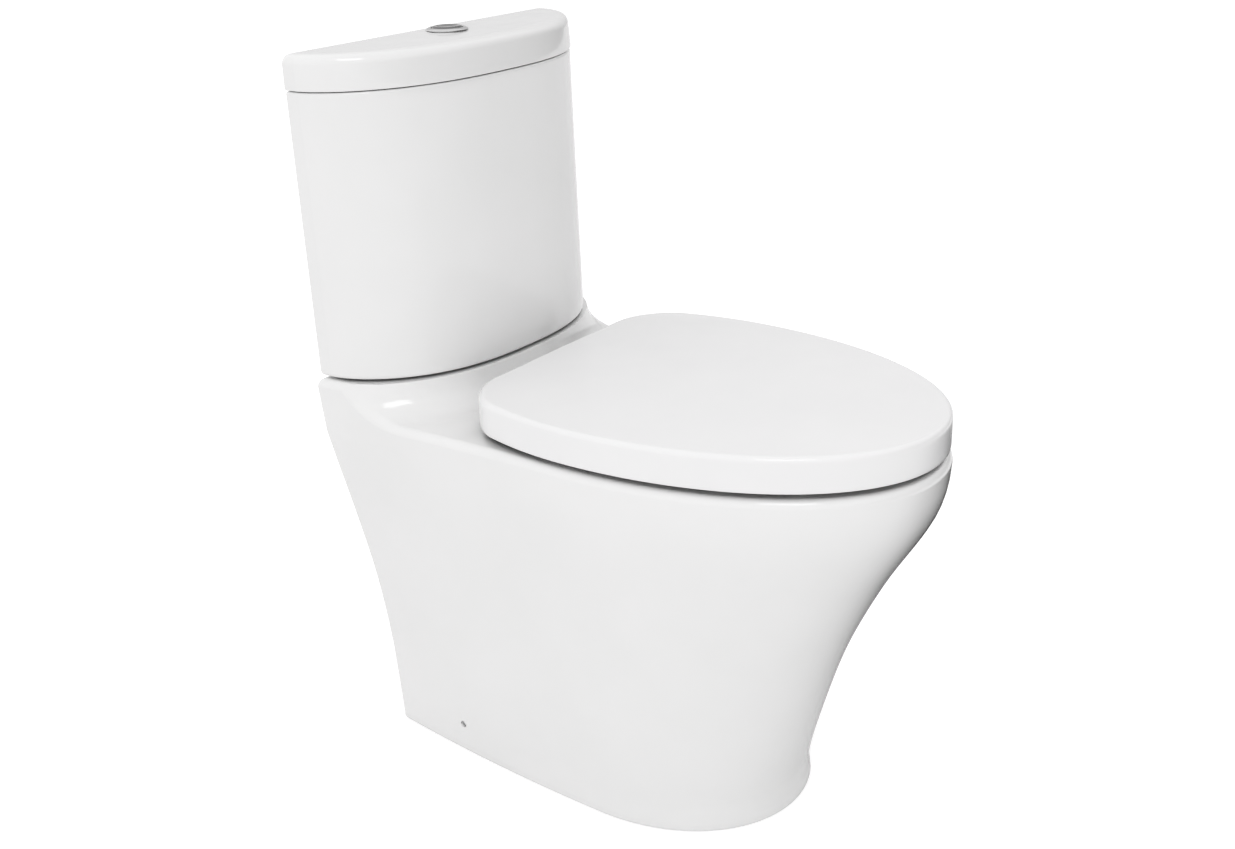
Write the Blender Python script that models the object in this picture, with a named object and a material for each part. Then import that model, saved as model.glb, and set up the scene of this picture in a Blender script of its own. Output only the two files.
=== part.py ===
"""Close coupled toilet: pan, cistern, lift-off lid, dual flush button, hinged seat, valves and fixings.

Metres, +Z up. The front faces -Y and the wall plane is at y = BACK_Y. Plan outlines are given as a
distance from the wall, and at() turns that distance into y.
"""
import math

import bmesh
import bpy
from mathutils import Matrix, Vector

# ---- driving dimensions -------------------------------------------------------------------------
DEPTH = 0.611                 # wall to the front of the rim
BACK_Y = DEPTH / 2
GAP = 0.0004                  # clearance between pieces that touch
WALL = 0.009                  # china thickness

RIM_Z = 0.420                 # top of the rim
PLATFORM_Z = 0.4545           # flat that the cistern stands on
PLATFORM_SWEEP = 0.034        # reach of the hollow curve from the platform down to the rim
FOOT_HALF = (0.118, 0.135)    # half width of the foot at the wall and at its widest
RIM_HALF = (0.1955, 0.185)    # the same at rim level
FOOT_FRONT = 0.467
RIM_FRONT = DEPTH
PAN_MID = 0.303               # where the pan is widest

CISTERN_Z = (0.457, 0.750)    # underside and top edge
CISTERN_HALF = (0.189, 0.195)
CISTERN_BOW = (0.113, 0.099)  # how far the front bows out of the straight sides
CISTERN_SIDE = 0.017
CISTERN_FLOOR = 0.012
LID_Z = (0.7506, 0.786)
LID_OVERHANG = 0.0012
LID_LEAN = 0.0050             # how far the lid's front leans back from its edge to its top

FLUSH_D = 0.0545              # distance of the flush valve from the wall
BOLT_X = 0.075
SPIGOT_Z = 0.180
SPIGOT_END = 0.012

HINGE_D = 0.182               # hinge axis, from the wall
HINGE_Z = 0.442
HINGE_X = 0.0775
COVER_BACK = 0.167
COVER_FRONT = 0.6095
COVER_Z = (0.4262, 0.4615)
COVER_HALF = (0.155, 0.184)
COVER_MID = 0.311
COVER_POWERS = (2.02, 2.05)
COVER_POINTS = (4, 10)        # outline points on each side and round each half of the front
RING_Z = (0.4264, 0.4432)
RING_BACK = 0.2015            # clear of the cover's back edge, which swings down in front of the hinge

BUTTON_D = 0.0385             # distance of the button from the wall
BUTTON_RADIUS = 0.0162
BUTTON_TOP = 0.7905
BEZEL_RADIUS = 0.0222
STEM_RADIUS = 0.0019          # pushrod under each button
SPRING_RADIUS, SPRING_WIRE = 0.0028, 0.00032       # clear of the neighbouring button as that goes down
ROD_X = {"full": 0.0062, "half": -0.0106}
PLUNGER_TOP = 0.6990

FILL_X, FILL_D = -0.128, 0.054
SIDE_FIX = (0.107, 0.035)     # side fixing hole: distance from the wall, height

ROUND, HINGE_ROUND, SMALL_ROUND = 24, 18, 14   # sides of the turned pieces
SIDE_CROWDING = 1.3           # above 1 crowds the outline points towards the wall
PAN_SIDES, PAN_FRONT = 12, 9  # outline points on each side and round each half of the front


def at(x, from_wall, z):
    """World point from a distance to the wall."""
    return Vector((x, BACK_Y - from_wall, z))


def mix(a, b, t):
    return a + (b - a) * t


def smooth_through(knots, x):
    """Cubic (Catmull-Rom) curve through (x, value) knots."""
    i = max(k for k in range(len(knots) - 1) if k == 0 or knots[k][0] <= x)
    (x1, v1), (x2, v2) = knots[i], knots[i + 1]
    x0, v0 = knots[i - 1] if i else (2 * x1 - x2, v1)
    x3, v3 = knots[i + 2] if i + 2 < len(knots) else (2 * x2 - x1, v2)
    t = (x - x1) / (x2 - x1)
    m1 = (v2 - v0) / (x2 - x0) * (x2 - x1)
    m2 = (v3 - v1) / (x3 - x1) * (x2 - x1)
    t2, t3 = t * t, t * t * t
    return (2 * t3 - 3 * t2 + 1) * v1 + (t3 - 2 * t2 + t) * m1 + (3 * t2 - 2 * t3) * v2 + (t3 - t2) * m2


# ---- materials ----------------------------------------------------------------------------------
def material(name, colour, roughness, metallic=0.0):
    made = bpy.data.materials.new(name)
    made.use_nodes = True
    shader = made.node_tree.nodes["Principled BSDF"]
    shader.inputs["Base Color"].default_value = (*colour, 1.0)
    shader.inputs["Roughness"].default_value = roughness
    shader.inputs["Metallic"].default_value = metallic
    made.diffuse_color = (*colour, 1.0)
    return made


def make_materials():
    return {
        "china": material("china", (0.86, 0.86, 0.85), 0.08),
        "seat": material("seat_plastic", (0.87, 0.87, 0.87), 0.22),
        "chrome": material("chrome", (0.80, 0.80, 0.81), 0.08, 1.0),
        "steel": material("stainless_steel", (0.62, 0.62, 0.63), 0.28, 1.0),
        "valve": material("valve_plastic", (0.80, 0.81, 0.82), 0.35),
        "grey": material("grey_plastic", (0.30, 0.33, 0.36), 0.40),
        "blue": material("blue_plastic", (0.08, 0.20, 0.48), 0.38),
        "rubber": material("rubber", (0.025, 0.025, 0.027), 0.75),
        "soft": material("white_rubber", (0.72, 0.73, 0.74), 0.60),
        "brass": material("brass", (0.72, 0.52, 0.24), 0.30, 1.0),
    }


# ---- mesh helpers -------------------------------------------------------------------------------
def finish(name, bm, finish_material, angle=35.0):
    """Turn a bmesh into an object with outward faces and smooth round surfaces."""
    bmesh.ops.remove_doubles(bm, verts=bm.verts, dist=1e-6)
    bmesh.ops.recalc_face_normals(bm, faces=bm.faces)
    mesh = bpy.data.meshes.new(name)
    bm.to_mesh(mesh)
    bm.free()
    mesh.shade_smooth()
    mesh.set_sharp_from_angle(angle=math.radians(angle))
    if finish_material:
        mesh.materials.append(finish_material)
    made = bpy.data.objects.new(name, mesh)
    bpy.context.scene.collection.objects.link(made)
    return made


def loft(rings, caps=True, around=False):
    """Skin a list of rings. around joins the last ring to the first, which makes a closed band."""
    bm = bmesh.new()
    rows = [[bm.verts.new(p) for p in ring] for ring in rings]
    pairs = list(zip(rows, rows[1:])) + ([(rows[-1], rows[0])] if around else [])
    for low, high in pairs:
        count = len(low)
        for i in range(count):
            j = (i + 1) % count
            bm.faces.new((low[i], low[j], high[j], high[i]))
    if caps and not around:
        bm.faces.new(rows[0][::-1])
        bm.faces.new(rows[-1])
    return bm


def turned(profile, centre, steps=ROUND, axis="Z"):
    """Solid of revolution of a (radius, height) profile.

    The profile is a closed ring, or it starts and ends on the axis, where flat faces close it.
    """
    closed = profile[0][0] > 0
    rings = []
    for radius, height in profile if closed else profile[1:-1]:
        turn = [2 * math.pi * k / steps for k in range(steps)]
        rings.append([Vector((radius * math.cos(a), radius * math.sin(a), height)) for a in turn])
    bm = loft(rings, around=closed)
    if axis == "X":
        bmesh.ops.rotate(bm, verts=bm.verts, matrix=Matrix.Rotation(math.pi / 2, 3, "Y"))
    if axis == "Y":
        bmesh.ops.rotate(bm, verts=bm.verts, matrix=Matrix.Rotation(-math.pi / 2, 3, "X"))
    bmesh.ops.translate(bm, verts=bm.verts, vec=centre)
    return bm


def rod(radius, low, high, edge=0.0):
    """Profile of a solid bar, with its edges broken if edge is given."""
    if not edge:
        return [(0, low), (radius, low), (radius, high), (0, high)]
    return [(0, low), (radius - edge, low), (radius, low + edge), (radius, high - edge),
            (radius - edge, high), (0, high)]


def pipe(outer, inner, low, high):
    """Profile of a ring or tube."""
    return [(inner, low), (outer, low), (outer, high), (inner, high)]


def block(low, high):
    """Box between two opposite corners."""
    bm = bmesh.new()
    bmesh.ops.create_cube(bm, size=1.0)
    size = [abs(b - a) for a, b in zip(low, high)]
    bmesh.ops.scale(bm, verts=bm.verts, vec=size)
    bmesh.ops.translate(bm, verts=bm.verts, vec=[(a + b) / 2 for a, b in zip(low, high)])
    return bm


def from_wall_block(x, d, z):
    """Box given as ranges of x, distance from the wall and height."""
    return block((x[0], BACK_Y - d[1], z[0]), (x[1], BACK_Y - d[0], z[1]))


def helper(bm, name):
    """Hidden solid that cuts or extends another."""
    made = finish(name, bm, None)
    made.hide_render = True
    made.display_type = "WIRE"
    return made


def combine(target, bm, operation):
    """Boolean of the target with a solid given as a bmesh."""
    other = helper(bm, f"{operation.lower()}_{target.name}_{len(target.modifiers)}")
    change = target.modifiers.new(other.name, "BOOLEAN")
    change.operation = operation
    change.solver = "EXACT"
    change.object = other
    return other


def cut(target, bm):
    return combine(target, bm, "DIFFERENCE")


def join(target, bm):
    return combine(target, bm, "UNION")


def hex_nut(flats, bore, low, high):
    """Hexagonal nut as a loft of outer and inner rings."""
    corner = flats / math.sqrt(3)
    turn = [math.pi / 12 * k for k in range(24)]
    outer = []
    for a in turn:
        local = (a + math.pi / 6) % (math.pi / 3) - math.pi / 6
        outer.append(corner * math.cos(math.pi / 6) / math.cos(local))
    rings = []
    for radii, z in ((outer, low), (outer, high), ([bore] * 24, high), ([bore] * 24, low)):
        rings.append([Vector((r * math.cos(a), r * math.sin(a), z)) for r, a in zip(radii, turn)])
    return loft(rings, around=True)


def moved(bm, centre):
    bmesh.ops.translate(bm, verts=bm.verts, vec=centre)
    return bm


# ---- plan outlines ------------------------------------------------------------------------------
def outline(half_back, half_mid, back, mid, front, powers, corner, sides, fronts):
    """Half an outline as (x, distance) from the back centre round to the front centre.

    The side runs from the back corner to the widest place, and a superellipse closes the front.
    corner is how far the rounding of the back corner reaches along both edges.
    """
    def side(d):
        return half_mid - (half_mid - half_back) * ((mid - d) / (mid - back)) ** 2

    reach = min(corner, 0.9 * (mid - back))
    start, tip, end = (half_back - corner, back), (side(back), back), (side(back + reach), back + reach)
    points = [(0.0, back), ((half_back - corner) * 0.5, back)]
    for k in range(4):
        t = k / 3
        weights = ((1 - t) ** 2, 1.4142 * t * (1 - t), t * t)
        total = sum(weights)
        points.append(tuple(sum(w * p[i] for w, p in zip(weights, (start, tip, end))) / total
                            for i in range(2)))
    for k in range(1, sides + 1):
        d = mix(back + reach, mid, (k / sides) ** SIDE_CROWDING)
        points.append((side(d), d))
    for k in range(1, fronts + 1):
        a = math.pi / 2 * k / fronts
        x = half_mid * max(math.cos(a), 0.0) ** (2 / powers[0]) if k < fronts else 0.0
        points.append((x, mid + (front - mid) * math.sin(a) ** (2 / powers[1])))
    return points


def whole(half):
    """Close a half outline by mirroring it."""
    return half + [(-x, d) for x, d in half[-2:0:-1]]


def placed(points, z):
    """Ring of an outline at a height, which may be a number or a function of the point."""
    level = z if callable(z) else (lambda x, d: z)
    return [at(x, d, level(x, d)) for x, d in points]


def towards(points, spine, t):
    """Outline drawn in towards the middle line between two distances."""
    return [(mix(x, 0.0, t), mix(d, min(max(d, spine[0]), spine[1]), t)) for x, d in points]


def cistern_outline(z, inset=0.0, grow=0.0, fronts=11, lean=0.0):
    """Plan of the cistern at a height; grow moves only the sides and front out, lean the front in."""
    t = (z - CISTERN_Z[0]) / (CISTERN_Z[1] - CISTERN_Z[0])
    half = mix(*CISTERN_HALF, t) - inset + grow
    front = CISTERN_SIDE + mix(*CISTERN_BOW, t) - inset + grow - lean
    back = max(inset, 0.0)
    side = max(CISTERN_SIDE, back + 0.006)
    return whole(outline(half, half, back, side, front, (2.576, 1.644), 0.004, 1, fronts))


# how far the china has spread at a height, from 0 at the foot to 1 at the rim
FRONT_SWELL = [(0.0, 0.0), (0.03, -0.015), (0.11, 0.125), (0.195, 0.32), (0.28, 0.60), (0.355, 0.905),
               (0.39, 0.985), (0.43, 1.0)]
WALL_SWELL = [(0.0, -0.03), (0.04, 0.0), (0.12, 0.095), (0.205, 0.28), (0.29, 0.555), (0.37, 0.84),
              (0.41, 0.965), (0.445, 1.0)]


def pan_outline(z, inset=0.0):
    front_t, wall_t = (smooth_through(knots, min(max(z, 0.0), knots[-1][0]))
                       for knots in (FRONT_SWELL, WALL_SWELL))
    wall = mix(FOOT_HALF[0], RIM_HALF[0], wall_t) - inset
    widest = mix(FOOT_HALF[1], RIM_HALF[1], front_t) - inset
    front = mix(FOOT_FRONT, RIM_FRONT, front_t) - inset
    return whole(outline(wall, widest, inset, PAN_MID, front, (2.06, 2.08), 0.004, PAN_SIDES, PAN_FRONT))


def outside_cistern(x, d):
    """Distance of a plan point from the platform that the cistern stands on; 0 inside it."""
    foot = FOOTPRINT
    inside = False
    nearest = 1.0
    for (x1, d1), (x2, d2) in zip(foot, foot[1:] + foot[:1]):
        if (d1 > d) != (d2 > d) and x < x1 + (d - d1) / (d2 - d1) * (x2 - x1):
            inside = not inside
        along = Vector((x2 - x1, d2 - d1))
        t = min(max((Vector((x - x1, d - d1)) @ along) / max(along.length_squared, 1e-12), 0.0), 1.0)
        nearest = min(nearest, math.hypot(x - x1 - along.x * t, d - d1 - along.y * t))
    return 0.0 if inside else nearest


FOOTPRINT = whole(outline(0.197, 0.197, 0.0, CISTERN_SIDE, CISTERN_SIDE + CISTERN_BOW[0] + 0.001,
                          (2.576, 1.644), 0.004, 1, 18))


def deck(drop):
    """Height of the pan's top face, less a drop for its rounded edge."""
    def level(x, d):
        near = max(1 - outside_cistern(x, d) / PLATFORM_SWEEP, 0.0)
        rise = 1 - math.sqrt(1 - near * near)
        return RIM_Z - drop * (1 + rise) + (PLATFORM_Z - RIM_Z) * rise
    return level


# ---- pan ----------------------------------------------------------------------------------------
# bowl cavity: height, half width, half length, centre
BOWL = [(0.440, 0.128, 0.160, 0.395), (0.394, 0.128, 0.160, 0.395), (0.390, 0.135, 0.167, 0.395),
        (0.404, 0.141, 0.173, 0.395), (0.404, 0.157, 0.189, 0.395), (0.378, 0.158, 0.190, 0.395),
        (0.352, 0.149, 0.180, 0.393), (0.310, 0.131, 0.160, 0.389), (0.265, 0.107, 0.132, 0.382),
        (0.220, 0.081, 0.101, 0.373), (0.175, 0.058, 0.073, 0.364), (0.130, 0.041, 0.051, 0.358),
        (0.098, 0.031, 0.039, 0.356), (0.087, 0.018, 0.026, 0.355)]
# trapway: distance from the wall, height, bore radius
TRAP = [(0.372, 0.1150, 0.0265), (0.330, 0.1150, 0.0265), (0.300, 0.123, 0.0265), (0.268, 0.150, 0.0265),
        (0.242, 0.186, 0.0265), (0.215, 0.212, 0.027), (0.184, 0.221, 0.028), (0.152, 0.211, 0.031),
        (0.122, 0.193, 0.036), (0.092, 0.183, 0.040), (0.060, SPIGOT_Z, 0.042)]


def bowl_rings(grow, levels, count=28):
    rings = []
    for z, half_x, half_d, centre in levels:
        turn = [2 * math.pi * (k + 0.5) / count for k in range(count)]
        rings.append([at((half_x + grow) * math.sin(a), centre + (half_d + grow) * math.cos(a), z)
                      for a in turn])
    return rings


def trap_tube(grow, end, count=14):
    """Swept tube along the trapway, with the end distance of the spigot."""
    path = [(d, z, r + grow) for d, z, r in TRAP] + [(end, SPIGOT_Z, TRAP[-1][2] + grow)]
    rings = []
    for i, (d, z, r) in enumerate(path):
        before, after = path[max(i - 1, 0)], path[min(i + 1, len(path) - 1)]
        run = Vector((after[0] - before[0], after[1] - before[1])).normalized()
        rings.append([at(r * math.sin(a), d - r * math.cos(a) * run.y, z + r * math.cos(a) * run.x)
                      for a in (2 * math.pi * (k + 0.5) / count for k in range(count))])
    return loft(rings)


def pan_body():
    rings = [placed(pan_outline(z), z) for z in
             (0.0, 0.010, 0.026, 0.075, 0.13, 0.185, 0.235, 0.28, 0.32, 0.355, 0.39)]
    for inset, drop in ((0.0, 0.009), (0.0022, 0.0028), (0.008, 0.0)):
        rings.append(placed(pan_outline(PLATFORM_Z, inset), deck(drop)))
    edge = pan_outline(PLATFORM_Z, 0.008)
    spine = (0.07, 0.46)
    for t in (0.05, 0.11, 0.18, 0.27, 0.38, 0.52, 0.72, 1.0):
        rings.append(placed(towards(edge, spine, t), deck(0.0)))
    bm = loft(rings, caps=False)
    bm.verts.ensure_lookup_table()
    bm.faces.new(bm.verts[:len(rings[0])][::-1])
    bmesh.ops.remove_doubles(bm, verts=bm.verts, dist=1e-6)
    bmesh.ops.dissolve_degenerate(bm, edges=bm.edges, dist=1e-6)
    return bm


def pan_hollow():
    """The space inside the skirt, open at the floor and at the wall."""
    levels = (-0.02, 0.05, 0.11, 0.17, 0.23, 0.28, 0.325)
    hollow = helper(loft([placed(pan_outline(z, 0.011), z) for z in levels]), "pan_hollow")
    join(hollow, from_wall_block((-0.148, 0.148), (0.013, 0.225), (0.280, 0.405)))
    under = [placed(cistern_outline(CISTERN_Z[0], 0.014), z) for z in (0.39, PLATFORM_Z - 0.012)]
    join(hollow, loft(under))
    join(hollow, from_wall_block((-0.100, 0.100), (-0.02, 0.03), (-0.03, 0.335)))
    cut(hollow, loft(bowl_rings(WALL, [(0.43, 0.158, 0.190, 0.395)] + BOWL[5:])))
    cut(hollow, trap_tube(WALL, SPIGOT_END))
    cut(hollow, from_wall_block((-0.037, 0.037), (0.0, 0.24), (0.338, 0.43)))
    cut(hollow, turned(rod(0.058, 0.40, 0.50), at(0, FLUSH_D, 0), ROUND))
    return hollow


def make_pan(mats):
    pan = finish("pan", pan_body(), mats["china"])
    change = pan.modifiers.new("hollow", "BOOLEAN")
    change.operation = "DIFFERENCE"
    change.solver = "EXACT"
    change.object = pan_hollow()
    cut(pan, loft(bowl_rings(0.0, BOWL)))
    cut(pan, trap_tube(0.0, SPIGOT_END - 0.02))
    cut(pan, from_wall_block((-0.026, 0.026), (0.038, 0.222), (0.348, 0.398)))
    cut(pan, turned(rod(0.048, 0.4320, 0.48), at(0, FLUSH_D, 0), ROUND))
    cut(pan, turned(rod(0.0305, 0.36, 0.45), at(0, FLUSH_D, 0), ROUND))
    for side in (-1, 1):
        cut(pan, turned(rod(0.0060, 0.38, 0.48), at(side * BOLT_X, FLUSH_D, 0), 16))
        cut(pan, turned(rod(0.0065, 0.36, 0.46), at(side * HINGE_X, HINGE_D, 0), 16))
        centre = at(side * 0.15, SIDE_FIX[0], SIDE_FIX[1])
        cut(pan, turned(rod(0.0042, -0.06, 0.06), centre, SMALL_ROUND, "X"))
    cut(pan, turned(rod(0.0200, 0.38, 0.50), at(FILL_X, FILL_D, 0), 20))
    return pan


# ---- cistern and lid ----------------------------------------------------------------------------
def make_cistern(mats):
    low, high = CISTERN_Z
    edges = ((0.0032, low), (0.0010, low + 0.0012), (0.0, low + 0.0035), (0.0, high - 0.003),
             (0.0008, high - 0.0009), (0.0024, high))
    rings = [placed(cistern_outline(z, inset), z) for inset, z in edges]
    cistern = finish("cistern", loft(rings), mats["china"])
    floor = low + CISTERN_FLOOR
    inner = ((0.0165, floor), (0.0120, floor + 0.002), (0.0095, floor + 0.007), (WALL, 0.60), (WALL, 0.77))
    cut(cistern, loft([placed(cistern_outline(min(z, high), inset), z) for inset, z in inner]))
    cut(cistern, turned(rod(0.0305, 0.44, 0.48), at(0, FLUSH_D, 0), ROUND))
    for side in (-1, 1):
        cut(cistern, turned(rod(0.0056, 0.44, 0.48), at(side * BOLT_X, FLUSH_D, 0), 16))
    cut(cistern, turned(rod(0.0118, 0.44, 0.48), at(FILL_X, FILL_D, 0), 20))
    return cistern


def make_lid(mats):
    low, high = LID_Z
    grow = LID_OVERHANG
    edges = ((0.0015, low), (0.0, low + 0.0015), (0.0, high - 0.010), (0.0009, high - 0.0055),
             (0.0035, high - 0.0021), (0.0075, high - 0.0004), (0.012, high))
    rings = [placed(cistern_outline(CISTERN_Z[1], i, grow, lean=LID_LEAN * (z - low) / (high - low)), z)
             for i, z in edges]
    lid = finish("cistern_lid", loft(rings), mats["china"])
    cut(lid, loft([placed(cistern_outline(CISTERN_Z[1], 0.0135), z) for z in (low - 0.01, high - 0.010)]))
    lip = [(0.0105, -0.009), (0.0105, 0.002), (0.0180, 0.002), (0.0180, -0.009)]
    join(lid, loft([placed(cistern_outline(CISTERN_Z[1], i), low + z) for i, z in lip], around=True))
    cut(lid, turned(rod(0.0194, 0.74, 0.80), at(0, BUTTON_D, 0), ROUND))
    return lid


# ---- dual flush button --------------------------------------------------------------------------
SPLIT = Vector((0.0085, 0.0))  # centre of the circle that parts the two buttons
SPLIT_RADIUS = 0.0162


def make_button(mats):
    top = LID_Z[1]
    profile = [(0, 0.7500), (0.0186, 0.7500), (0.0186, top + GAP), (BEZEL_RADIUS, top + GAP),
               (BEZEL_RADIUS, top + 0.0016), (0.0192, top + 0.0028), (0.0178, top + 0.0032),
               (0.0168, top + 0.0024), (0.0168, top - 0.012), (0.0160, top - 0.014),
               (0.0160, 0.7530), (0, 0.7530)]
    housing = finish("button_housing", turned(profile, at(0, BUTTON_D, 0), ROUND), mats["chrome"])
    for x in ROD_X.values():
        cut(housing, turned(rod(0.0031, 0.74, 0.76), at(x, BUTTON_D, 0), 12))
    nut = turned(pipe(0.0235, 0.0190, 0.7665, 0.7755), at(0, BUTTON_D, 0), ROUND)
    finish("button_nut", nut, mats["valve"])

    low, high = 0.7805, BUTTON_TOP
    disc = [(0, low), (BUTTON_RADIUS - 0.0005, low), (BUTTON_RADIUS, low + 0.0005),
            (BUTTON_RADIUS, high - 0.0022), (BUTTON_RADIUS - 0.0012, high - 0.0008),
            (BUTTON_RADIUS - 0.0040, high - 0.0002), (0, high)]
    split = at(SPLIT.x, BUTTON_D, 0)
    full = finish("full_flush_button", turned(disc, at(0, BUTTON_D, 0), ROUND), mats["chrome"])
    keep = helper(turned(rod(SPLIT_RADIUS - 0.0003, 0.77, 0.80), split, ROUND), "full_flush_share")
    change = full.modifiers.new("share", "BOOLEAN")
    change.operation = "INTERSECT"
    change.solver = "EXACT"
    change.object = keep
    half = finish("half_flush_button", turned(disc, at(0, BUTTON_D, 0), ROUND), mats["chrome"])
    cut(half, turned(rod(SPLIT_RADIUS + 0.0003, 0.77, 0.80), split, ROUND))
    for name, x in ROD_X.items():
        place = at(x, BUTTON_D, 0)
        stem = turned(rod(STEM_RADIUS, PLUNGER_TOP + GAP, low - GAP), place, 12)
        finish(f"{name}_flush_rod", stem, mats["valve"])
        spring = moved(coil(SPRING_RADIUS, SPRING_WIRE, 0.7530 + GAP, low - GAP, 5), place)
        finish(f"{name}_flush_spring", spring, mats["steel"])


def coil(radius, wire, low, high, turns, per_turn=9, sides=4):
    """Compression spring about the Z axis."""
    count = turns * per_turn
    rings = []
    for k in range(count + 1):
        a = 2 * math.pi * k / per_turn
        z = mix(low + wire, high - wire, k / count)
        out = Vector((math.cos(a), math.sin(a), 0))
        rings.append([out * (radius + wire * math.cos(b)) + Vector((0, 0, z + wire * math.sin(b)))
                      for b in (2 * math.pi * s / sides for s in range(sides))])
    return loft(rings)


# ---- flush valve --------------------------------------------------------------------------------
def make_flush_valve(mats):
    centre = at(0, FLUSH_D, 0)
    floor = CISTERN_Z[0] + CISTERN_FLOOR
    seat = floor + 0.0055
    profile = [(0.0250, 0.4375), (0.0294, 0.4375), (0.0294, floor + 0.0015), (0.0380, floor + 0.0015),
               (0.0380, seat), (0.0345, seat), (0.0345, 0.562), (0.0200, 0.576), (0.0200, 0.6700),
               (0.0172, 0.6700), (0.0172, 0.574), (0.0310, 0.560), (0.0310, seat), (0.0275, seat),
               (0.0275, seat + 0.003), (0.0250, seat + 0.003)]
    basket = finish("valve_basket", turned(profile, centre, ROUND), mats["valve"])
    window = from_wall_block((-0.05, 0.05), (FLUSH_D - 0.013, FLUSH_D + 0.013), (seat + 0.004, 0.548))
    cut(basket, window)
    window = from_wall_block((-0.013, 0.013), (FLUSH_D - 0.05, FLUSH_D + 0.05), (seat + 0.004, 0.548))
    cut(basket, window)
    cut(basket, from_wall_block((-0.03, 0.03), (FLUSH_D - 0.006, FLUSH_D + 0.006), (0.640, 0.664)))
    gasket = turned(pipe(0.0375, 0.0300, floor + 0.0003, floor + 0.0012), centre, ROUND)
    finish("valve_gasket", gasket, mats["rubber"])
    nut = hex_nut(0.072, 0.0298, 0.4475, CISTERN_Z[0] - GAP)
    finish("valve_back_nut", moved(nut, centre), mats["valve"])
    doughnut = [(0.0303, 0.4324), (0.0440, 0.4324), (0.0470, 0.4360), (0.0470, 0.4530),
                (0.0445, 0.4566), (0.0425, 0.4566), (0.0425, 0.4470), (0.0303, 0.4470)]
    finish("coupling_gasket", turned(doughnut, centre, ROUND), mats["rubber"])

    tube = [(0.0105, seat + 0.0069), (0.0235, seat + 0.0069), (0.0235, seat + 0.0090),
            (0.0135, seat + 0.0140), (0.0128, 0.5000), (0.0128, 0.6370), (0.0105, 0.6370)]
    finish("overflow_tube", turned(tube, centre, ROUND), mats["blue"])
    seal = turned(pipe(0.0285, 0.0120, seat + 0.0034, seat + 0.0065), centre, ROUND)
    finish("valve_seal", seal, mats["soft"])

    cap = [(0, 0.6930), (0.0245, 0.6930), (0.0275, 0.6900), (0.0275, 0.6690), (0.0228, 0.6660),
           (0.0228, 0.6620), (0.0205, 0.6620), (0.0205, 0.6710), (0.0250, 0.6710), (0.0250, 0.6890),
           (0, 0.6890)]
    cap = finish("valve_cap", turned(cap, centre, ROUND), mats["grey"])
    plunger = [(0, 0.6762), (0.0048, 0.6762), (0.0048, 0.6790), (0.0034, 0.6790), (0.0034, 0.6975),
               (0.0024, PLUNGER_TOP), (0, PLUNGER_TOP)]
    for name, x in ROD_X.items():
        cut(cap, turned(rod(0.0039, 0.68, 0.70), at(x, BUTTON_D, 0), 12))
        finish(f"{name}_flush_plunger", turned(plunger, at(x, BUTTON_D, 0), 12), mats["blue"])


# ---- fill valve ---------------------------------------------------------------------------------
LEVER_X, LEVER_Z = FILL_X - 0.012, 0.6900
LINK_X = FILL_X + 0.0195


def make_fill_valve(mats):
    centre = at(FILL_X, FILL_D, 0)
    floor = CISTERN_Z[0] + CISTERN_FLOOR
    column = [(0, 0.6610), (0.0150, 0.6610), (0.0160, 0.6600), (0.0160, 0.6420),
              (0.0110, 0.6360), (0.0110, floor + 0.0060), (0.0165, floor + 0.0055),
              (0.0165, floor + 0.0016), (0.01045, floor + 0.0016), (0.01045, 0.4180), (0.0065, 0.4180),
              (0.0065, 0.6300), (0, 0.6300)]
    finish("fill_column", turned(column, centre, ROUND), mats["valve"])
    seal = turned(pipe(0.0160, 0.0109, floor + 0.0003, floor + 0.0013), centre, ROUND)
    finish("fill_seal", seal, mats["rubber"])
    nut = hex_nut(0.030, 0.01085, 0.4480, CISTERN_Z[0] - GAP)
    finish("fill_back_nut", moved(nut, centre), mats["valve"])

    cap = finish("fill_cap", turned(rod(0.0168, 0.6614, 0.6720, 0.0015), centre, ROUND), mats["grey"])
    for side in (-1, 1):
        near, far = sorted((side * 0.0042, side * 0.0068))
        ear = from_wall_block((LEVER_X - 0.004, LEVER_X + 0.004), (FILL_D + near, FILL_D + far),
                              (0.6700, LEVER_Z + 0.004))
        join(cap, ear)
    join(cap, turned(rod(0.0014, -0.0055, 0.0055), at(LEVER_X, FILL_D, LEVER_Z), 10, "Y"))

    arm = from_wall_block((LEVER_X - 0.0045, LINK_X + 0.0105), (FILL_D - 0.0036, FILL_D + 0.0036),
                          (LEVER_Z - 0.0024, LEVER_Z + 0.0024))
    lever = finish("fill_lever", arm, mats["valve"])
    cut(lever, turned(rod(0.0018, -0.01, 0.01), at(LEVER_X, FILL_D, LEVER_Z), 12, "Y"))
    cut(lever, from_wall_block((LINK_X - 0.0035, LINK_X + 0.0072), (FILL_D - 0.0021, FILL_D + 0.0021),
                               (LEVER_Z - 0.01, LEVER_Z + 0.01)))
    ring = [(0.0122, 0.5560), (0.0240, 0.5560), (0.0250, 0.5570), (0.0250, 0.6130), (0.0235, 0.6150),
            (0.0122, 0.6150)]
    finish("fill_float", turned(ring, centre, ROUND), mats["soft"])
    link = turned(rod(0.0015, 0.6150 + GAP, 0.7020), at(LINK_X, FILL_D, 0), 12)
    finish("float_link", link, mats["valve"])


# ---- seat ---------------------------------------------------------------------------------------
def cover_outline(inset):
    half = [h - inset for h in COVER_HALF]
    return whole(outline(half[0], half[1], COVER_BACK + inset, COVER_MID, COVER_FRONT - inset,
                         COVER_POWERS, 0.046, *COVER_POINTS))


def domed(edge, crown):
    """Height of a surface that rises from its edge to the middle of the seat."""
    def level(x, d):
        off = math.hypot(x / COVER_HALF[1], (d - 0.37) / 0.24)
        return edge + crown * max(1 - off * off, 0.0)
    return level


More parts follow.
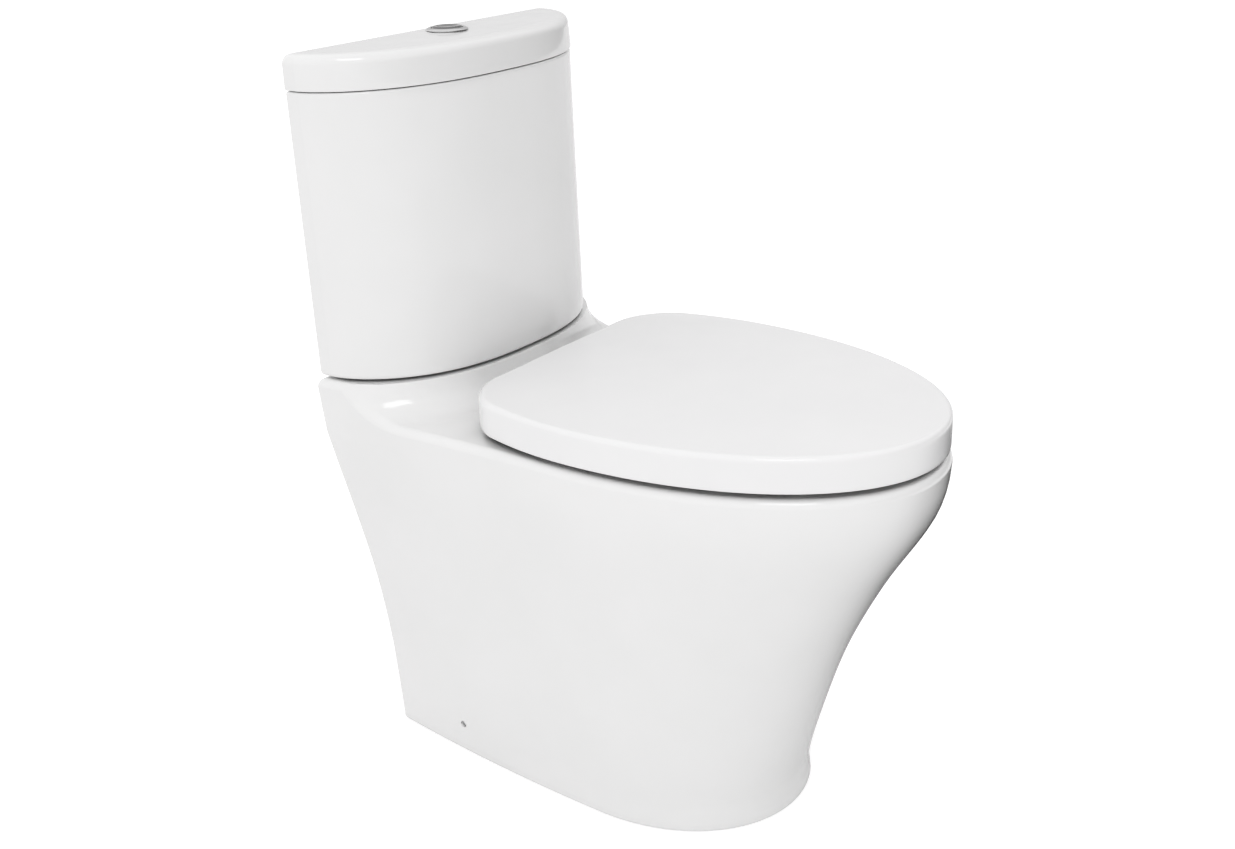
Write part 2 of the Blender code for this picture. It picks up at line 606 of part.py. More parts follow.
def crowned_loft(edges, spine, top, crown):
    """Loft of outline rings closed by a surface that rises towards the middle."""
    rings = [placed(cover_outline(i), z) for i, z in edges]
    last = cover_outline(edges[-1][0])
    for t in (0.15, 0.40, 0.70, 1.0):
        rings.append(placed(towards(last, spine, t), domed(top, crown)))
    bm = loft(rings, caps=False)
    bm.verts.ensure_lookup_table()
    bm.faces.new(bm.verts[:len(rings[0])][::-1])
    bmesh.ops.remove_doubles(bm, verts=bm.verts, dist=1e-6)
    bmesh.ops.dissolve_degenerate(bm, edges=bm.edges, dist=1e-6)
    return bm


def lug(middle, arc, corners):
    """Hinge lug: a rounded plate about the hinge axis, with straight sides out to its corners.

    arc gives the angles of the rounded part, where 0 points to the front and 90 degrees up.
    """
    turn = [math.radians(mix(*arc, k / 10)) for k in range(11)]
    plate = [(HINGE_D + 0.0074 * math.cos(a), HINGE_Z + 0.0074 * math.sin(a)) for a in turn] + corners
    return loft([[at(middle + x, d, z) for d, z in plate] for x in (-0.006, 0.006)])


def hinge_bore(middle):
    return turned(rod(0.0054, -0.012, 0.012), at(middle, HINGE_D, HINGE_Z), HINGE_ROUND, "X")


def make_cover(mats):
    low, high = COVER_Z
    edges = ((0.0016, low), (0.0004, low + 0.002), (0.0, low + 0.006), (0.0, high - 0.008),
             (0.0010, high - 0.0045), (0.0034, high - 0.0016), (0.0070, high - 0.0002), (0.011, high))
    cover = finish("seat_cover", crowned_loft(edges, (0.25, 0.43), high, 0.0022), mats["seat"])
    inner = ((0.0045, low - 0.01), (0.0045, high - 0.011), (0.0060, high - 0.0065), (0.010, high - 0.0048))
    cut(cover, crowned_loft(inner, (0.25, 0.43), high - 0.0046, 0.0022))
    for side in (-1, 1):
        notch = sorted((side * 0.0555, side * 0.0955))
        cut(cover, from_wall_block(notch, (0.155, 0.1755), (0.41, 0.4530)))
        place = side * 0.0915
        top = high - 0.003
        join(cover, lug(place, (180, 360), [(HINGE_D + 0.0074, top), (HINGE_D - 0.0074, top)]))
        cut(cover, hinge_bore(place))
    for index, side in enumerate((-1, 1), 1):
        place = at(side * 0.070, 0.535, 0)
        height = domed(high - 0.0046, 0.0022)(0.070, 0.535)
        pad = turned(rod(0.0060, RING_Z[1] + GAP, height - GAP, 0.0015), place, SMALL_ROUND)
        finish(f"cover_buffer_{index}", pad, mats["soft"])
    damper = turned(rod(0.0058, -0.011, 0.011, 0.0008), at(-0.1112, HINGE_D, HINGE_Z), SMALL_ROUND, "X")
    finish("cover_damper", damper, mats["grey"])


def ring_section():
    """Rings of the seat ring's section: (inset outside, growth of the hole, height)."""
    low, high = RING_Z
    return ((0.0015, None, low), (0.0, None, low + 0.002), (0.0, None, high - 0.005),
            (0.0020, None, high - 0.0015), (0.0060, None, high), (None, 0.010, high),
            (None, 0.0035, high - 0.0022), (None, 0.0, high - 0.007), (None, 0.0, low + 0.002),
            (None, 0.0015, low))


def make_ring(mats):
    rings = []
    for inset, grow, z in ring_section():
        if grow is None:
            half = [h - 0.0085 - inset for h in COVER_HALF]
            plan = outline(half[0], half[1], RING_BACK + inset, COVER_MID, COVER_FRONT - 0.0085 - inset,
                           COVER_POWERS, 0.040, *COVER_POINTS)
        else:
            plan = outline(0.096 + grow, 0.112 + grow, 0.262 - grow, 0.385, 0.533 + grow, (2.0, 2.0),
                           0.060, *COVER_POINTS)
        rings.append(placed(whole(plan), z))
    seat = finish("seat_ring", loft(rings, around=True), mats["seat"])
    for side in (-1, 1):
        place = side * 0.0635
        join(seat, lug(place, (60, 270), [(RING_BACK + 0.010, HINGE_Z - 0.0074),
                                             (RING_BACK + 0.010, RING_Z[1] - 0.001)]))
        cut(seat, hinge_bore(place))
    places = ((-0.140, 0.300), (0.140, 0.300), (-0.098, 0.520), (0.098, 0.520))
    for index, (x, d) in enumerate(places, 1):
        pad = turned(rod(0.0075, RIM_Z + 0.0005, RING_Z[0] - GAP, 0.0010), at(x, d, 0), SMALL_ROUND)
        finish(f"seat_buffer_{index}", pad, mats["soft"])
    damper = turned(rod(0.0058, -0.011, 0.011, 0.0008), at(0.0432, HINGE_D, HINGE_Z), SMALL_ROUND, "X")
    finish("seat_damper", damper, mats["grey"])


def make_hinges(mats):
    for side, name in ((-1, "left"), (1, "right")):
        centre = at(side * HINGE_X, HINGE_D, 0)
        flange = RIM_Z + 0.0005
        profile = [(0, 0.3680), (0.0036, 0.3680), (0.0040, 0.3684), (0.0040, flange + 0.0034),
                   (0.0068, flange + 0.0034), (0.0068, 0.4510), (0.0055, 0.4522), (0, 0.4522)]
        post = finish(f"hinge_post_{name}", turned(profile, centre, SMALL_ROUND), mats["steel"])
        eye = at(side * HINGE_X, HINGE_D, HINGE_Z)
        cut(post, turned(rod(0.0051, -0.012, 0.012), eye, HINGE_ROUND, "X"))
        plate = turned(pipe(0.0130, 0.0044, flange, flange + 0.0030), centre, ROUND)
        finish(f"hinge_flange_{name}", plate, mats["steel"])
        pin = turned(rod(0.0046, -0.0205, 0.0205), eye, HINGE_ROUND, "X")
        finish(f"hinge_pin_{name}", pin, mats["steel"])
        washer = turned(pipe(0.0115, 0.0044, 0.4026, 0.4046), centre, SMALL_ROUND)
        finish(f"hinge_washer_{name}", washer, mats["rubber"])
        finish(f"hinge_nut_{name}", moved(hex_nut(0.017, 0.0044, 0.3930, 0.4022), centre), mats["steel"])


# ---- couplings and fixings ----------------------------------------------------------------------
def make_couplings(mats):
    floor = CISTERN_Z[0] + CISTERN_FLOOR
    under = PLATFORM_Z - 0.012
    for side, name in ((-1, "left"), (1, "right")):
        centre = at(side * BOLT_X, FLUSH_D, 0)
        head = floor + 0.0036
        bolt = [(0, 0.4180), (0.0035, 0.4180), (0.0039, 0.4184), (0.0039, head), (0.0075, head),
                (0.0080, head + 0.0010), (0.0065, head + 0.0040), (0, head + 0.0048)]
        finish(f"coupling_bolt_{name}", turned(bolt, centre, SMALL_ROUND), mats["brass"])
        seal = turned(pipe(0.0110, 0.0043, floor + GAP, head - GAP), centre, SMALL_ROUND)
        finish(f"bolt_seal_{name}", seal, mats["rubber"])
        washer = turned(pipe(0.0120, 0.0043, under - 0.0020, under - GAP), centre, SMALL_ROUND)
        finish(f"bolt_washer_{name}", washer, mats["steel"])
        nut = finish(f"wing_nut_{name}", turned(pipe(0.0072, 0.0043, under - 0.0110, under - 0.0024),
                                                centre, 20), mats["brass"])
        for wing in (-1, 1):
            x = sorted((side * BOLT_X + wing * 0.0062, side * BOLT_X + wing * 0.0150))
            join(nut, from_wall_block(x, (FLUSH_D - 0.0013, FLUSH_D + 0.0013),
                                      (under - 0.0160, under - 0.0050)))


def make_floor_fixings(mats):
    d, z = SIDE_FIX
    for side, name in ((-1, "left"), (1, "right")):
        inner = 0.1135
        x = sorted((side * (inner - 0.003), side * inner))
        bracket = finish(f"floor_bracket_{name}", from_wall_block(x, (d - 0.016, d + 0.016), (0, 0.052)),
                         mats["steel"])
        foot = sorted((side * (inner - 0.045), side * (inner - 0.001)))
        join(bracket, from_wall_block(foot, (d - 0.016, d + 0.016), (0, 0.003)))
        cut(bracket, turned(rod(0.0033, -0.01, 0.01), at(side * inner, d, z), 12, "X"))
        cut(bracket, turned(rod(0.0033, -0.01, 0.01), at(side * (inner - 0.028), d, 0), 12))
        screw = [(0, -0.0050), (0.0026, -0.0050), (0.0028, -0.0046), (0.0028, 0.0195),
                 (0.0037, 0.0200), (0.0037, 0.0222), (0.0028, 0.0232), (0, 0.0232)]
        flip = [(r, side * h) for r, h in screw]
        screw = turned(flip, at(side * (inner - 0.012), d, z), SMALL_ROUND, "X")
        finish(f"side_screw_{name}", screw, mats["steel"])


# ---- build --------------------------------------------------------------------------------------
def carry(name, axis_point, pieces):
    """Parent pieces to an empty on their joint's axis, where they already are."""
    axis = bpy.data.objects.new(name, None)
    bpy.context.scene.collection.objects.link(axis)
    axis.location = axis_point
    for piece in pieces:
        moving = bpy.data.objects[piece]
        moving.parent = axis
        moving.location = -Vector(axis_point)


def main():
    for old in list(bpy.data.objects):
        bpy.data.objects.remove(old, do_unlink=True)
    mats = make_materials()
    make_pan(mats)
    make_cistern(mats)
    make_lid(mats)
    make_button(mats)
    make_flush_valve(mats)
    make_fill_valve(mats)
    make_cover(mats)
    make_ring(mats)
    make_hinges(mats)
    make_couplings(mats)
    make_floor_fixings(mats)

    hinge = at(0, HINGE_D, HINGE_Z)
    pads = [f"seat_buffer_{index}" for index in range(1, 5)]
    carry("seat_ring_axis", hinge, ["seat_ring", "seat_damper"] + pads)
    carry("seat_cover_axis", hinge, ["seat_cover", "cover_damper", "cover_buffer_1", "cover_buffer_2"])
    carry("cistern_lid_axis", at(0, BUTTON_D, LID_Z[0]),
          ["cistern_lid", "button_housing", "button_nut", "full_flush_spring", "half_flush_spring"])
    for name, x in ROD_X.items():
        carry(f"{name}_flush_axis", at(x, BUTTON_D, BUTTON_TOP),
              [f"{name}_flush_button", f"{name}_flush_rod", f"{name}_flush_plunger"])
    carry("flush_valve_axis", at(0, FLUSH_D, CISTERN_Z[0]), ["overflow_tube", "valve_seal"])
    carry("float_axis", at(FILL_X, FILL_D, CISTERN_Z[0]), ["fill_float", "float_link"])
    carry("fill_lever_axis", at(LEVER_X, FILL_D, LEVER_Z), ["fill_lever"])


main()
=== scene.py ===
"""Close coupled toilet: fine surfaces, materials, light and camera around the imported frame.

Metres, +Z up. The front faces -Y and the wall plane is at y = BACK_Y. Plan outlines are given as a
distance from the wall, and at() turns that distance into y.
"""

import math

import bmesh
import bpy
import numpy as np
from mathutils import Matrix, Vector


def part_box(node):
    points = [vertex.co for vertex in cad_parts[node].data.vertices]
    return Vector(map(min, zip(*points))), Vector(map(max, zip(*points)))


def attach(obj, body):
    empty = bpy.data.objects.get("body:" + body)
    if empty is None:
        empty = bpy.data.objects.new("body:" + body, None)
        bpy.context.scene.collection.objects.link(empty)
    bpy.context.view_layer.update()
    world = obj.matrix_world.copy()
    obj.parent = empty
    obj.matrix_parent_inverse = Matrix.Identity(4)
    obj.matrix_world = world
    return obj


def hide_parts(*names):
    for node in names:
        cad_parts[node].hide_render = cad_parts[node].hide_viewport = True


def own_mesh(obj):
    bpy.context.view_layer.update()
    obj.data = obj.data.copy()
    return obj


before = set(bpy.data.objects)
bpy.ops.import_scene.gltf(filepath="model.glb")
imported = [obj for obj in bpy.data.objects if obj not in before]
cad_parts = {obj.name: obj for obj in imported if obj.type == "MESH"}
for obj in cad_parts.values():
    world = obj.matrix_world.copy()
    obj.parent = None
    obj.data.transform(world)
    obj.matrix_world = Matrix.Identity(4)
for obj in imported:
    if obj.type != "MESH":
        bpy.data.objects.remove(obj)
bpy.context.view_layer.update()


def middle(node):
    low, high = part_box(node)
    return (low + high) / 2


# ---- sizes read from the frame ------------------------------------------------------------------
BACK_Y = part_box("pan")[1].y
DEPTH = BACK_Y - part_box("pan")[0].y            # wall to the front of the rim
PLATFORM_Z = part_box("pan")[1].z                # flat that the cistern stands on
RIM_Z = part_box("hinge_flange_left")[0].z - 0.0005
CISTERN_Z = (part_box("cistern")[0].z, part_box("cistern")[1].z)
LID_Z = (CISTERN_Z[1] + 0.0006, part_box("cistern_lid")[1].z)
FLUSH_D = BACK_Y - middle("valve_basket").y    # flush valve, from the wall
BOLT_X = middle("coupling_bolt_right").x
FILL_X, FILL_D = middle("fill_column").x, BACK_Y - middle("fill_column").y
HINGE_X, HINGE_Z = middle("hinge_pin_right").x, middle("hinge_pin_right").z
HINGE_D = BACK_Y - middle("hinge_pin_right").y
COVER_FRONT = BACK_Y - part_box("seat_cover")[0].y
COVER_CROWN = 0.0022
COVER_Z = (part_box("seat_cover")[0].z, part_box("seat_cover")[1].z - COVER_CROWN)
RING_Z = (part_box("seat_ring")[0].z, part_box("cover_buffer_1")[0].z - 0.0004)
BUTTON_D = BACK_Y - middle("button_housing").y
BUTTON_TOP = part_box("half_flush_button")[1].z
SIDE_FIX = (BACK_Y - middle("side_screw_right").y, middle("side_screw_right").z)

# ---- shape of the china, as in the CAD ----------------------------------------------------------
WALL = 0.009
FOOT_HALF, RIM_HALF = (0.118, 0.135), (0.1955, 0.185)
FOOT_FRONT, PAN_MID = 0.467, 0.303
CISTERN_HALF = (0.189, 0.195)
CISTERN_BOW = (0.113, 0.099)
CISTERN_SIDE = 0.017
CISTERN_POWERS = (2.576, 1.644)                # how full the front's curve is, across and forwards
PAN_POWERS = (2.06, 2.08)
BACK_CORNER = 0.004                            # rounding where the sides meet the wall face
CISTERN_FLOOR = 0.012
LID_OVERHANG, LID_LEAN = 0.0012, 0.0050
PLATFORM_SWEEP = 0.034                         # reach of the hollow curve from the platform to the rim
FRONT_SWELL = [(0.0, 0.0), (0.03, -0.015), (0.11, 0.125), (0.195, 0.32), (0.28, 0.60), (0.355, 0.905),
               (0.39, 0.985), (0.43, 1.0)]
WALL_SWELL = [(0.0, -0.03), (0.04, 0.0), (0.12, 0.095), (0.205, 0.28), (0.29, 0.555), (0.37, 0.84),
              (0.41, 0.965), (0.445, 1.0)]
# bowl below the rim: height, half width, half length, centre from the wall
BOWL = [(0.378, 0.158, 0.190, 0.395), (0.352, 0.149, 0.180, 0.393), (0.310, 0.131, 0.160, 0.389),
        (0.265, 0.107, 0.132, 0.382), (0.220, 0.081, 0.101, 0.373), (0.175, 0.058, 0.073, 0.364),
        (0.130, 0.041, 0.051, 0.358), (0.098, 0.031, 0.039, 0.356)]
OPENING = (0.128, 0.160, 0.395)                # rim opening: half width, half length, centre
OPENING_ROLL = 0.007                           # width of the rounding round it
# trapway: distance from the wall, height, bore radius
TRAP = [(0.372, 0.1150, 0.0265), (0.330, 0.1150, 0.0265), (0.300, 0.123, 0.0265), (0.268, 0.150, 0.0265),
        (0.242, 0.186, 0.0265), (0.215, 0.212, 0.027), (0.184, 0.221, 0.028), (0.152, 0.211, 0.031),
        (0.122, 0.193, 0.036), (0.092, 0.183, 0.040), (0.060, 0.180, 0.042)]
SPIGOT_END = 0.012
VALVE_BORE = 0.0305                            # hole for the flush valve, in the cistern and in the pan

# ---- shape of the seat, as in the CAD -----------------------------------------------------------
COVER_BACK, COVER_MID, COVER_HALF = 0.167, 0.311, (0.155, 0.184)
RING_BACK = 0.2015
COVER_POWERS = (2.02, 2.05)


def at(x, from_wall, z):
    """World point from a distance to the wall."""
    return Vector((x, BACK_Y - from_wall, z))


def mix(a, b, t):
    return a + (b - a) * t


def smooth_through(knots, x):
    """Cubic (Catmull-Rom) curve through (x, value) knots."""
    i = max(k for k in range(len(knots) - 1) if k == 0 or knots[k][0] <= x)
    (x1, v1), (x2, v2) = knots[i], knots[i + 1]
    x0, v0 = knots[i - 1] if i else (2 * x1 - x2, v1)
    x3, v3 = knots[i + 2] if i + 2 < len(knots) else (2 * x2 - x1, v2)
    t = (x - x1) / (x2 - x1)
    m1 = (v2 - v0) / (x2 - x0) * (x2 - x1)
    m2 = (v3 - v1) / (x3 - x1) * (x2 - x1)
    t2, t3 = t * t, t * t * t
    return (2 * t3 - 3 * t2 + 1) * v1 + (t3 - 2 * t2 + t) * m1 + (3 * t2 - 2 * t3) * v2 + (t3 - t2) * m2


# ---- materials ----------------------------------------------------------------------------------
NOISE_SPAN = (0.3, 0.7)                        # the part of a noise's range that carries its variation


class Nodes:
    """Small helper that adds and links shader nodes in one material."""

    def __init__(self, name, colour, roughness, **sockets):
        self.material = bpy.data.materials.new(name)
        self.material.use_nodes = True
        self.material.diffuse_color = (*colour, 1.0)
        self.tree = self.material.node_tree
        self.shader = self.tree.nodes["Principled BSDF"]
        self.shader.inputs["Base Color"].default_value = (*colour, 1.0)
        self.shader.inputs["Roughness"].default_value = roughness
        for socket, value in sockets.items():
            self.shader.inputs[socket.replace("_", " ")].default_value = value
        self.place = self.tree.nodes.new("ShaderNodeTexCoord").outputs["Object"]
        self.normal = None

    def add(self, kind, **values):
        """New node with its sockets set; from_ and to stand for the pairs of Min and Max sockets."""
        node = self.tree.nodes.new(kind)
        for key, value in values.items():
            if key in ("from_", "to"):
                low, high = ("From Min", "From Max") if key == "from_" else ("To Min", "To Max")
                node.inputs[low].default_value, node.inputs[high].default_value = value
            else:
                node.inputs[key.replace("_", " ")].default_value = value
        return node

    def noise(self, scale, detail=2.0, stretch=(1, 1, 1)):
        """Noise over the object; stretch squeezes the pattern along an axis."""
        squeeze = self.add("ShaderNodeMapping", Scale=stretch)
        self.tree.links.new(self.place, squeeze.inputs["Vector"])
        cloud = self.add("ShaderNodeTexNoise", Scale=scale, Detail=detail)
        self.tree.links.new(squeeze.outputs["Vector"], cloud.inputs["Vector"])
        return cloud.outputs["Fac"]

    def vary_colour(self, fac, a, b):
        """Base colour that goes from a to b with the noise."""
        ramp = self.tree.nodes.new("ShaderNodeValToRGB")
        for stop, position, colour in zip(ramp.color_ramp.elements, NOISE_SPAN, (a, b)):
            stop.position, stop.color = position, (*colour, 1.0)
        self.tree.links.new(fac, ramp.inputs["Fac"])
        self.tree.links.new(ramp.outputs["Color"], self.shader.inputs["Base Color"])

    def vary_roughness(self, fac, a, b):
        spread = self.add("ShaderNodeMapRange", from_=NOISE_SPAN, to=(a, b))
        self.tree.links.new(fac, spread.inputs["Value"])
        self.tree.links.new(spread.outputs["Result"], self.shader.inputs["Roughness"])

    def bump(self, fac, depth, strength, coat=False):
        """Relief on top of any relief added before; coat gives it to the clear coat as well."""
        relief = self.add("ShaderNodeBump", Strength=strength, Distance=depth)
        self.tree.links.new(fac, relief.inputs["Height"])
        if self.normal:
            self.tree.links.new(self.normal, relief.inputs["Normal"])
        self.normal = relief.outputs["Normal"]
        self.tree.links.new(self.normal, self.shader.inputs["Normal"])
        if coat:
            self.tree.links.new(self.normal, self.shader.inputs["Coat Normal"])


def china():
    """Vitreous china under a clear glaze, faintly uneven in tone and never quite flat."""
    made = Nodes("china", (0.82, 0.82, 0.815), 0.16, Coat_Weight=0.7, Coat_Roughness=0.03, Coat_IOR=1.5)
    made.vary_colour(made.noise(9.0, 3.0), (0.815, 0.817, 0.812), (0.835, 0.835, 0.832))
    made.vary_roughness(made.noise(26.0, 3.0), 0.13, 0.20)
    made.bump(made.noise(13.0, 1.0), 0.0007, 0.5, coat=True)
    made.bump(made.noise(260.0, 2.0), 0.00001, 0.25, coat=True)
    return made.material


def biscuit():
    """Unglazed china of the hidden inner faces."""
    made = Nodes("china_unglazed", (0.70, 0.68, 0.64), 0.75)
    made.vary_colour(made.noise(30.0, 4.0), (0.66, 0.64, 0.60), (0.74, 0.72, 0.68))
    made.vary_roughness(made.noise(60.0), 0.65, 0.85)
    made.bump(made.noise(700.0, 3.0), 0.00015, 0.6)
    return made.material


def seat_plastic():
    """Pressed white thermoset with a polished face and faint orange peel."""
    made = Nodes("seat_plastic", (0.84, 0.84, 0.84), 0.14, Coat_Weight=0.35, Coat_Roughness=0.06)
    made.vary_colour(made.noise(14.0), (0.832, 0.832, 0.833), (0.848, 0.848, 0.847))
    made.vary_roughness(made.noise(40.0, 3.0), 0.13, 0.19)
    made.bump(made.noise(7.0, 1.0), 0.0004, 0.4, coat=True)
    made.bump(made.noise(420.0, 2.0), 0.00001, 0.3, coat=True)
    return made.material


def chrome(name, shade):
    """Bright plating; a low shade paints the dark reflection of a dim room into the colour."""
    made = Nodes(name, (shade, shade, shade), 0.07, Metallic=1.0)
    made.vary_colour(made.noise(120.0, 3.0), [shade * 0.97] * 3, [shade * 1.03] * 3)
    made.vary_roughness(made.noise(220.0, 4.0), 0.045, 0.12)
    made.bump(made.noise(900.0, 2.0), 0.00001, 0.3)
    return made.material


def steel():
    """Stainless steel with fine lines along its length."""
    made = Nodes("stainless_steel", (0.70, 0.70, 0.71), 0.34, Metallic=0.9)
    lines = made.noise(1400.0, 3.0, (1, 1, 0.04))
    made.vary_colour(lines, (0.62, 0.62, 0.63), (0.78, 0.78, 0.79))
    made.vary_roughness(lines, 0.28, 0.44)
    made.bump(lines, 0.00002, 0.5)
    return made.material


def brass():
    made = Nodes("brass", (0.72, 0.52, 0.24), 0.30, Metallic=1.0)
    made.vary_colour(made.noise(160.0, 4.0), (0.60, 0.42, 0.19), (0.78, 0.58, 0.29))
    made.vary_roughness(made.noise(300.0, 3.0), 0.24, 0.42)
    made.bump(made.noise(1100.0, 2.0), 0.00003, 0.4)
    return made.material


def moulded(name, colour, roughness, shade=0.05, grain=500.0):
    """Moulded plastic or rubber: slightly uneven colour and gloss, fine surface grain."""
    dark, light = ([max(c * f, 0.0) for c in colour] for f in (1 - shade, 1 + shade))
    made = Nodes(name, colour, roughness)
    made.vary_colour(made.noise(45.0, 3.0), dark, light)
    made.vary_roughness(made.noise(90.0, 3.0), roughness - 0.06, roughness + 0.08)
    made.bump(made.noise(grain, 2.0), 0.00008, 0.4)
    return made.material


MATS = {
    "china": china(),
    "biscuit": biscuit(),
    "seat_plastic": seat_plastic(),
    "chrome": chrome("chrome", 0.66),
    # the buttons get a darker copy of the chrome: a painted reflection of a dim room
    "button_chrome_painted_reflection": chrome("button_chrome_painted_reflection", 0.30),
    "stainless_steel": steel(),
    "brass": brass(),
    "valve_plastic": moulded("valve_plastic", (0.78, 0.79, 0.80), 0.34),
    "grey_plastic": moulded("grey_plastic", (0.30, 0.33, 0.36), 0.40),
    "blue_plastic": moulded("blue_plastic", (0.08, 0.20, 0.48), 0.38),
    "rubber": moulded("rubber", (0.025, 0.025, 0.027), 0.72, 0.25, 900.0),
    "white_rubber": moulded("white_rubber", (0.72, 0.73, 0.74), 0.58, 0.03, 800.0),
}


# ---- mesh helpers -------------------------------------------------------------------------------
def made_object(name, bm, *materials):
    bmesh.ops.remove_doubles(bm, verts=bm.verts, dist=1e-6)
    bmesh.ops.dissolve_degenerate(bm, edges=bm.edges, dist=1e-6)
    bmesh.ops.recalc_face_normals(bm, faces=bm.faces)
    mesh = bpy.data.meshes.new(name)
    bm.to_mesh(mesh)
    bm.free()
    for material in materials:
        mesh.materials.append(material)
    made = bpy.data.objects.new(name, mesh)
    bpy.context.scene.collection.objects.link(made)
    return made


def loft(rings, capped=True, around=False):
    """Skin a list of rings; capped closes the two ends, around makes a closed band instead."""
    bm = bmesh.new()
    rows = [[bm.verts.new(p) for p in ring] for ring in rings]
    for low, high in list(zip(rows, rows[1:])) + ([(rows[-1], rows[0])] if around else []):
        count = len(low)
        for i in range(count):
            j = (i + 1) % count
            bm.faces.new((low[i], low[j], high[j], high[i]))
    if capped and not around:
        bm.faces.new(rows[0][::-1])
        bm.faces.new(rows[-1])
    return bm


def turned(profile, centre, steps=64, axis="Z"):
    """Solid of revolution of a (radius, height) profile, closed where it meets the axis."""
    closed = profile[0][0] > 0
    rings = []
    for radius, height in profile if closed else profile[1:-1]:
        turn = [2 * math.pi * k / steps for k in range(steps)]
        rings.append([Vector((radius * math.cos(a), radius * math.sin(a), height)) for a in turn])
    bm = loft(rings, around=closed)
    if axis == "X":
        bmesh.ops.rotate(bm, verts=bm.verts, matrix=Matrix.Rotation(math.pi / 2, 3, "Y"))
    bmesh.ops.translate(bm, verts=bm.verts, vec=centre)
    return bm


def together(shapes):
    """One bmesh that holds several solids, which don't touch."""
    held = bmesh.new()
    for shape in shapes:
        part = bpy.data.meshes.new("part")
        shape.to_mesh(part)
        shape.free()
        held.from_mesh(part)
        bpy.data.meshes.remove(part)
    return held


def rod(radius, low, high):
    """Profile of a plain cylinder, for turned()."""
    return [(0, low), (radius, low), (radius, high), (0, high)]


def box_shape(x, d, z):
    """Box given as ranges of x, distance from the wall and height."""
    rings = [[at(x[i], d[j], level) for i, j in ((0, 0), (1, 0), (1, 1), (0, 1))] for level in z]
    return loft(rings)


def combine(target, bm, operation="DIFFERENCE"):
    """Boolean with a throwaway solid."""
    other = made_object("cutter", bm)
    change = target.modifiers.new("change", "BOOLEAN")
    change.operation, change.solver, change.object = operation, "EXACT", other
    settle(target)
    bpy.data.objects.remove(other, do_unlink=True)


def settle(target):
    """Turn the object's modifiers into mesh."""
    bpy.context.view_layer.update()
    seen = target.evaluated_get(bpy.context.evaluated_depsgraph_get())
    mesh = bpy.data.meshes.new_from_object(seen)
    target.modifiers.clear()
    target.data = mesh


def dress(target, name, body, nodes, angle=32.0):
    """Shade a finished piece, put it on its body and hide its CAD nodes."""
    target.name = name
    target.data.shade_smooth()
    target.data.set_sharp_from_angle(angle=math.radians(angle))
    even = target.modifiers.new("even_normals", "WEIGHTED_NORMAL")
    even.keep_sharp = True
    even.weight = 50
    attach(target, body)
    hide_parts(*nodes)


def broken_edge(target, name, width, segments):
    edge = target.modifiers.new(name, "BEVEL")
    edge.width, edge.segments, edge.limit_method = width, segments, "ANGLE"
    edge.angle_limit = math.radians(40)
    return edge


def arc(low, high, steps):
    """(inset, drop) pairs of a rounded edge, from the side face to the top face."""
    pairs = []
    for k in range(steps + 1):
        a = math.pi / 2 * k / steps
        pairs.append((low * (1 - math.cos(a)), high * (1 - math.sin(a))))
    return pairs


# ---- plan outlines ------------------------------------------------------------------------------
def outline(half_back, half_mid, back, mid, front, powers, corner, counts):
    """Half an outline from the back centre round to the front centre; see the CAD for its shape.

    counts are the points along the back, round the corner, along the side and round the front.
    """
    backs, corners, sides, fronts = counts

    def side(d):
        return half_mid - (half_mid - half_back) * ((mid - d) / (mid - back)) ** 2

    reach = min(corner, 0.9 * (mid - back))
    start, tip, end = (half_back - corner, back), (side(back), back), (side(back + reach), back + reach)
    points = [((half_back - corner) * k / backs, back) for k in range(backs)]
    for k in range(corners + 1):
        t = k / corners
        weights = ((1 - t) ** 2, 1.4142 * t * (1 - t), t * t)
        total = sum(weights)
        points.append(tuple(sum(w * p[i] for w, p in zip(weights, (start, tip, end))) / total
                            for i in range(2)))
    for k in range(1, sides + 1):
        d = mix(back + reach, mid, k / sides)
        points.append((side(d), d))
    for k in range(1, fronts + 1):
        a = math.pi / 2 * k / fronts
        x = half_mid * max(math.cos(a), 0.0) ** (2 / powers[0]) if k < fronts else 0.0
        points.append((x, mid + (front - mid) * math.sin(a) ** (2 / powers[1])))
    return points


def whole(half):
    """Close a half outline by mirroring it."""
    return half + [(-x, d) for x, d in half[-2:0:-1]]


def placed(points, z):
    """Ring of an outline at a height, which may be a number or a function of the point."""
    level = z if callable(z) else (lambda x, d: z)
    return [at(x, d, level(x, d)) for x, d in points]


def towards(points, spine, t):
    """Outline drawn in towards the middle line between two distances."""
    return [(mix(x, 0.0, t), mix(d, min(max(d, spine[0]), spine[1]), t)) for x, d in points]


def cistern_outline(z, inset=0.0, grow=0.0, lean=0.0):
    """Plan of the cistern at a height; grow moves only the sides and front out, lean the front in."""
    t = (z - CISTERN_Z[0]) / (CISTERN_Z[1] - CISTERN_Z[0])
    half = mix(*CISTERN_HALF, t) - inset + grow
    front = CISTERN_SIDE + mix(*CISTERN_BOW, t) - inset + grow - lean
    back = max(inset, 0.0)
    side = max(CISTERN_SIDE, back + 0.006)
    return whole(outline(half, half, back, side, front, CISTERN_POWERS, BACK_CORNER, (8, 6, 2, 44)))


def pan_outline(z, inset=0.0):
    front_t, wall_t = (smooth_through(knots, min(max(z, 0.0), knots[-1][0]))
                       for knots in (FRONT_SWELL, WALL_SWELL))
    wall = mix(FOOT_HALF[0], RIM_HALF[0], wall_t) - inset
    widest = mix(FOOT_HALF[1], RIM_HALF[1], front_t) - inset
    front = mix(FOOT_FRONT, DEPTH, front_t) - inset
    return whole(outline(wall, widest, inset, PAN_MID, front, PAN_POWERS, BACK_CORNER, (22, 5, 40, 32)))


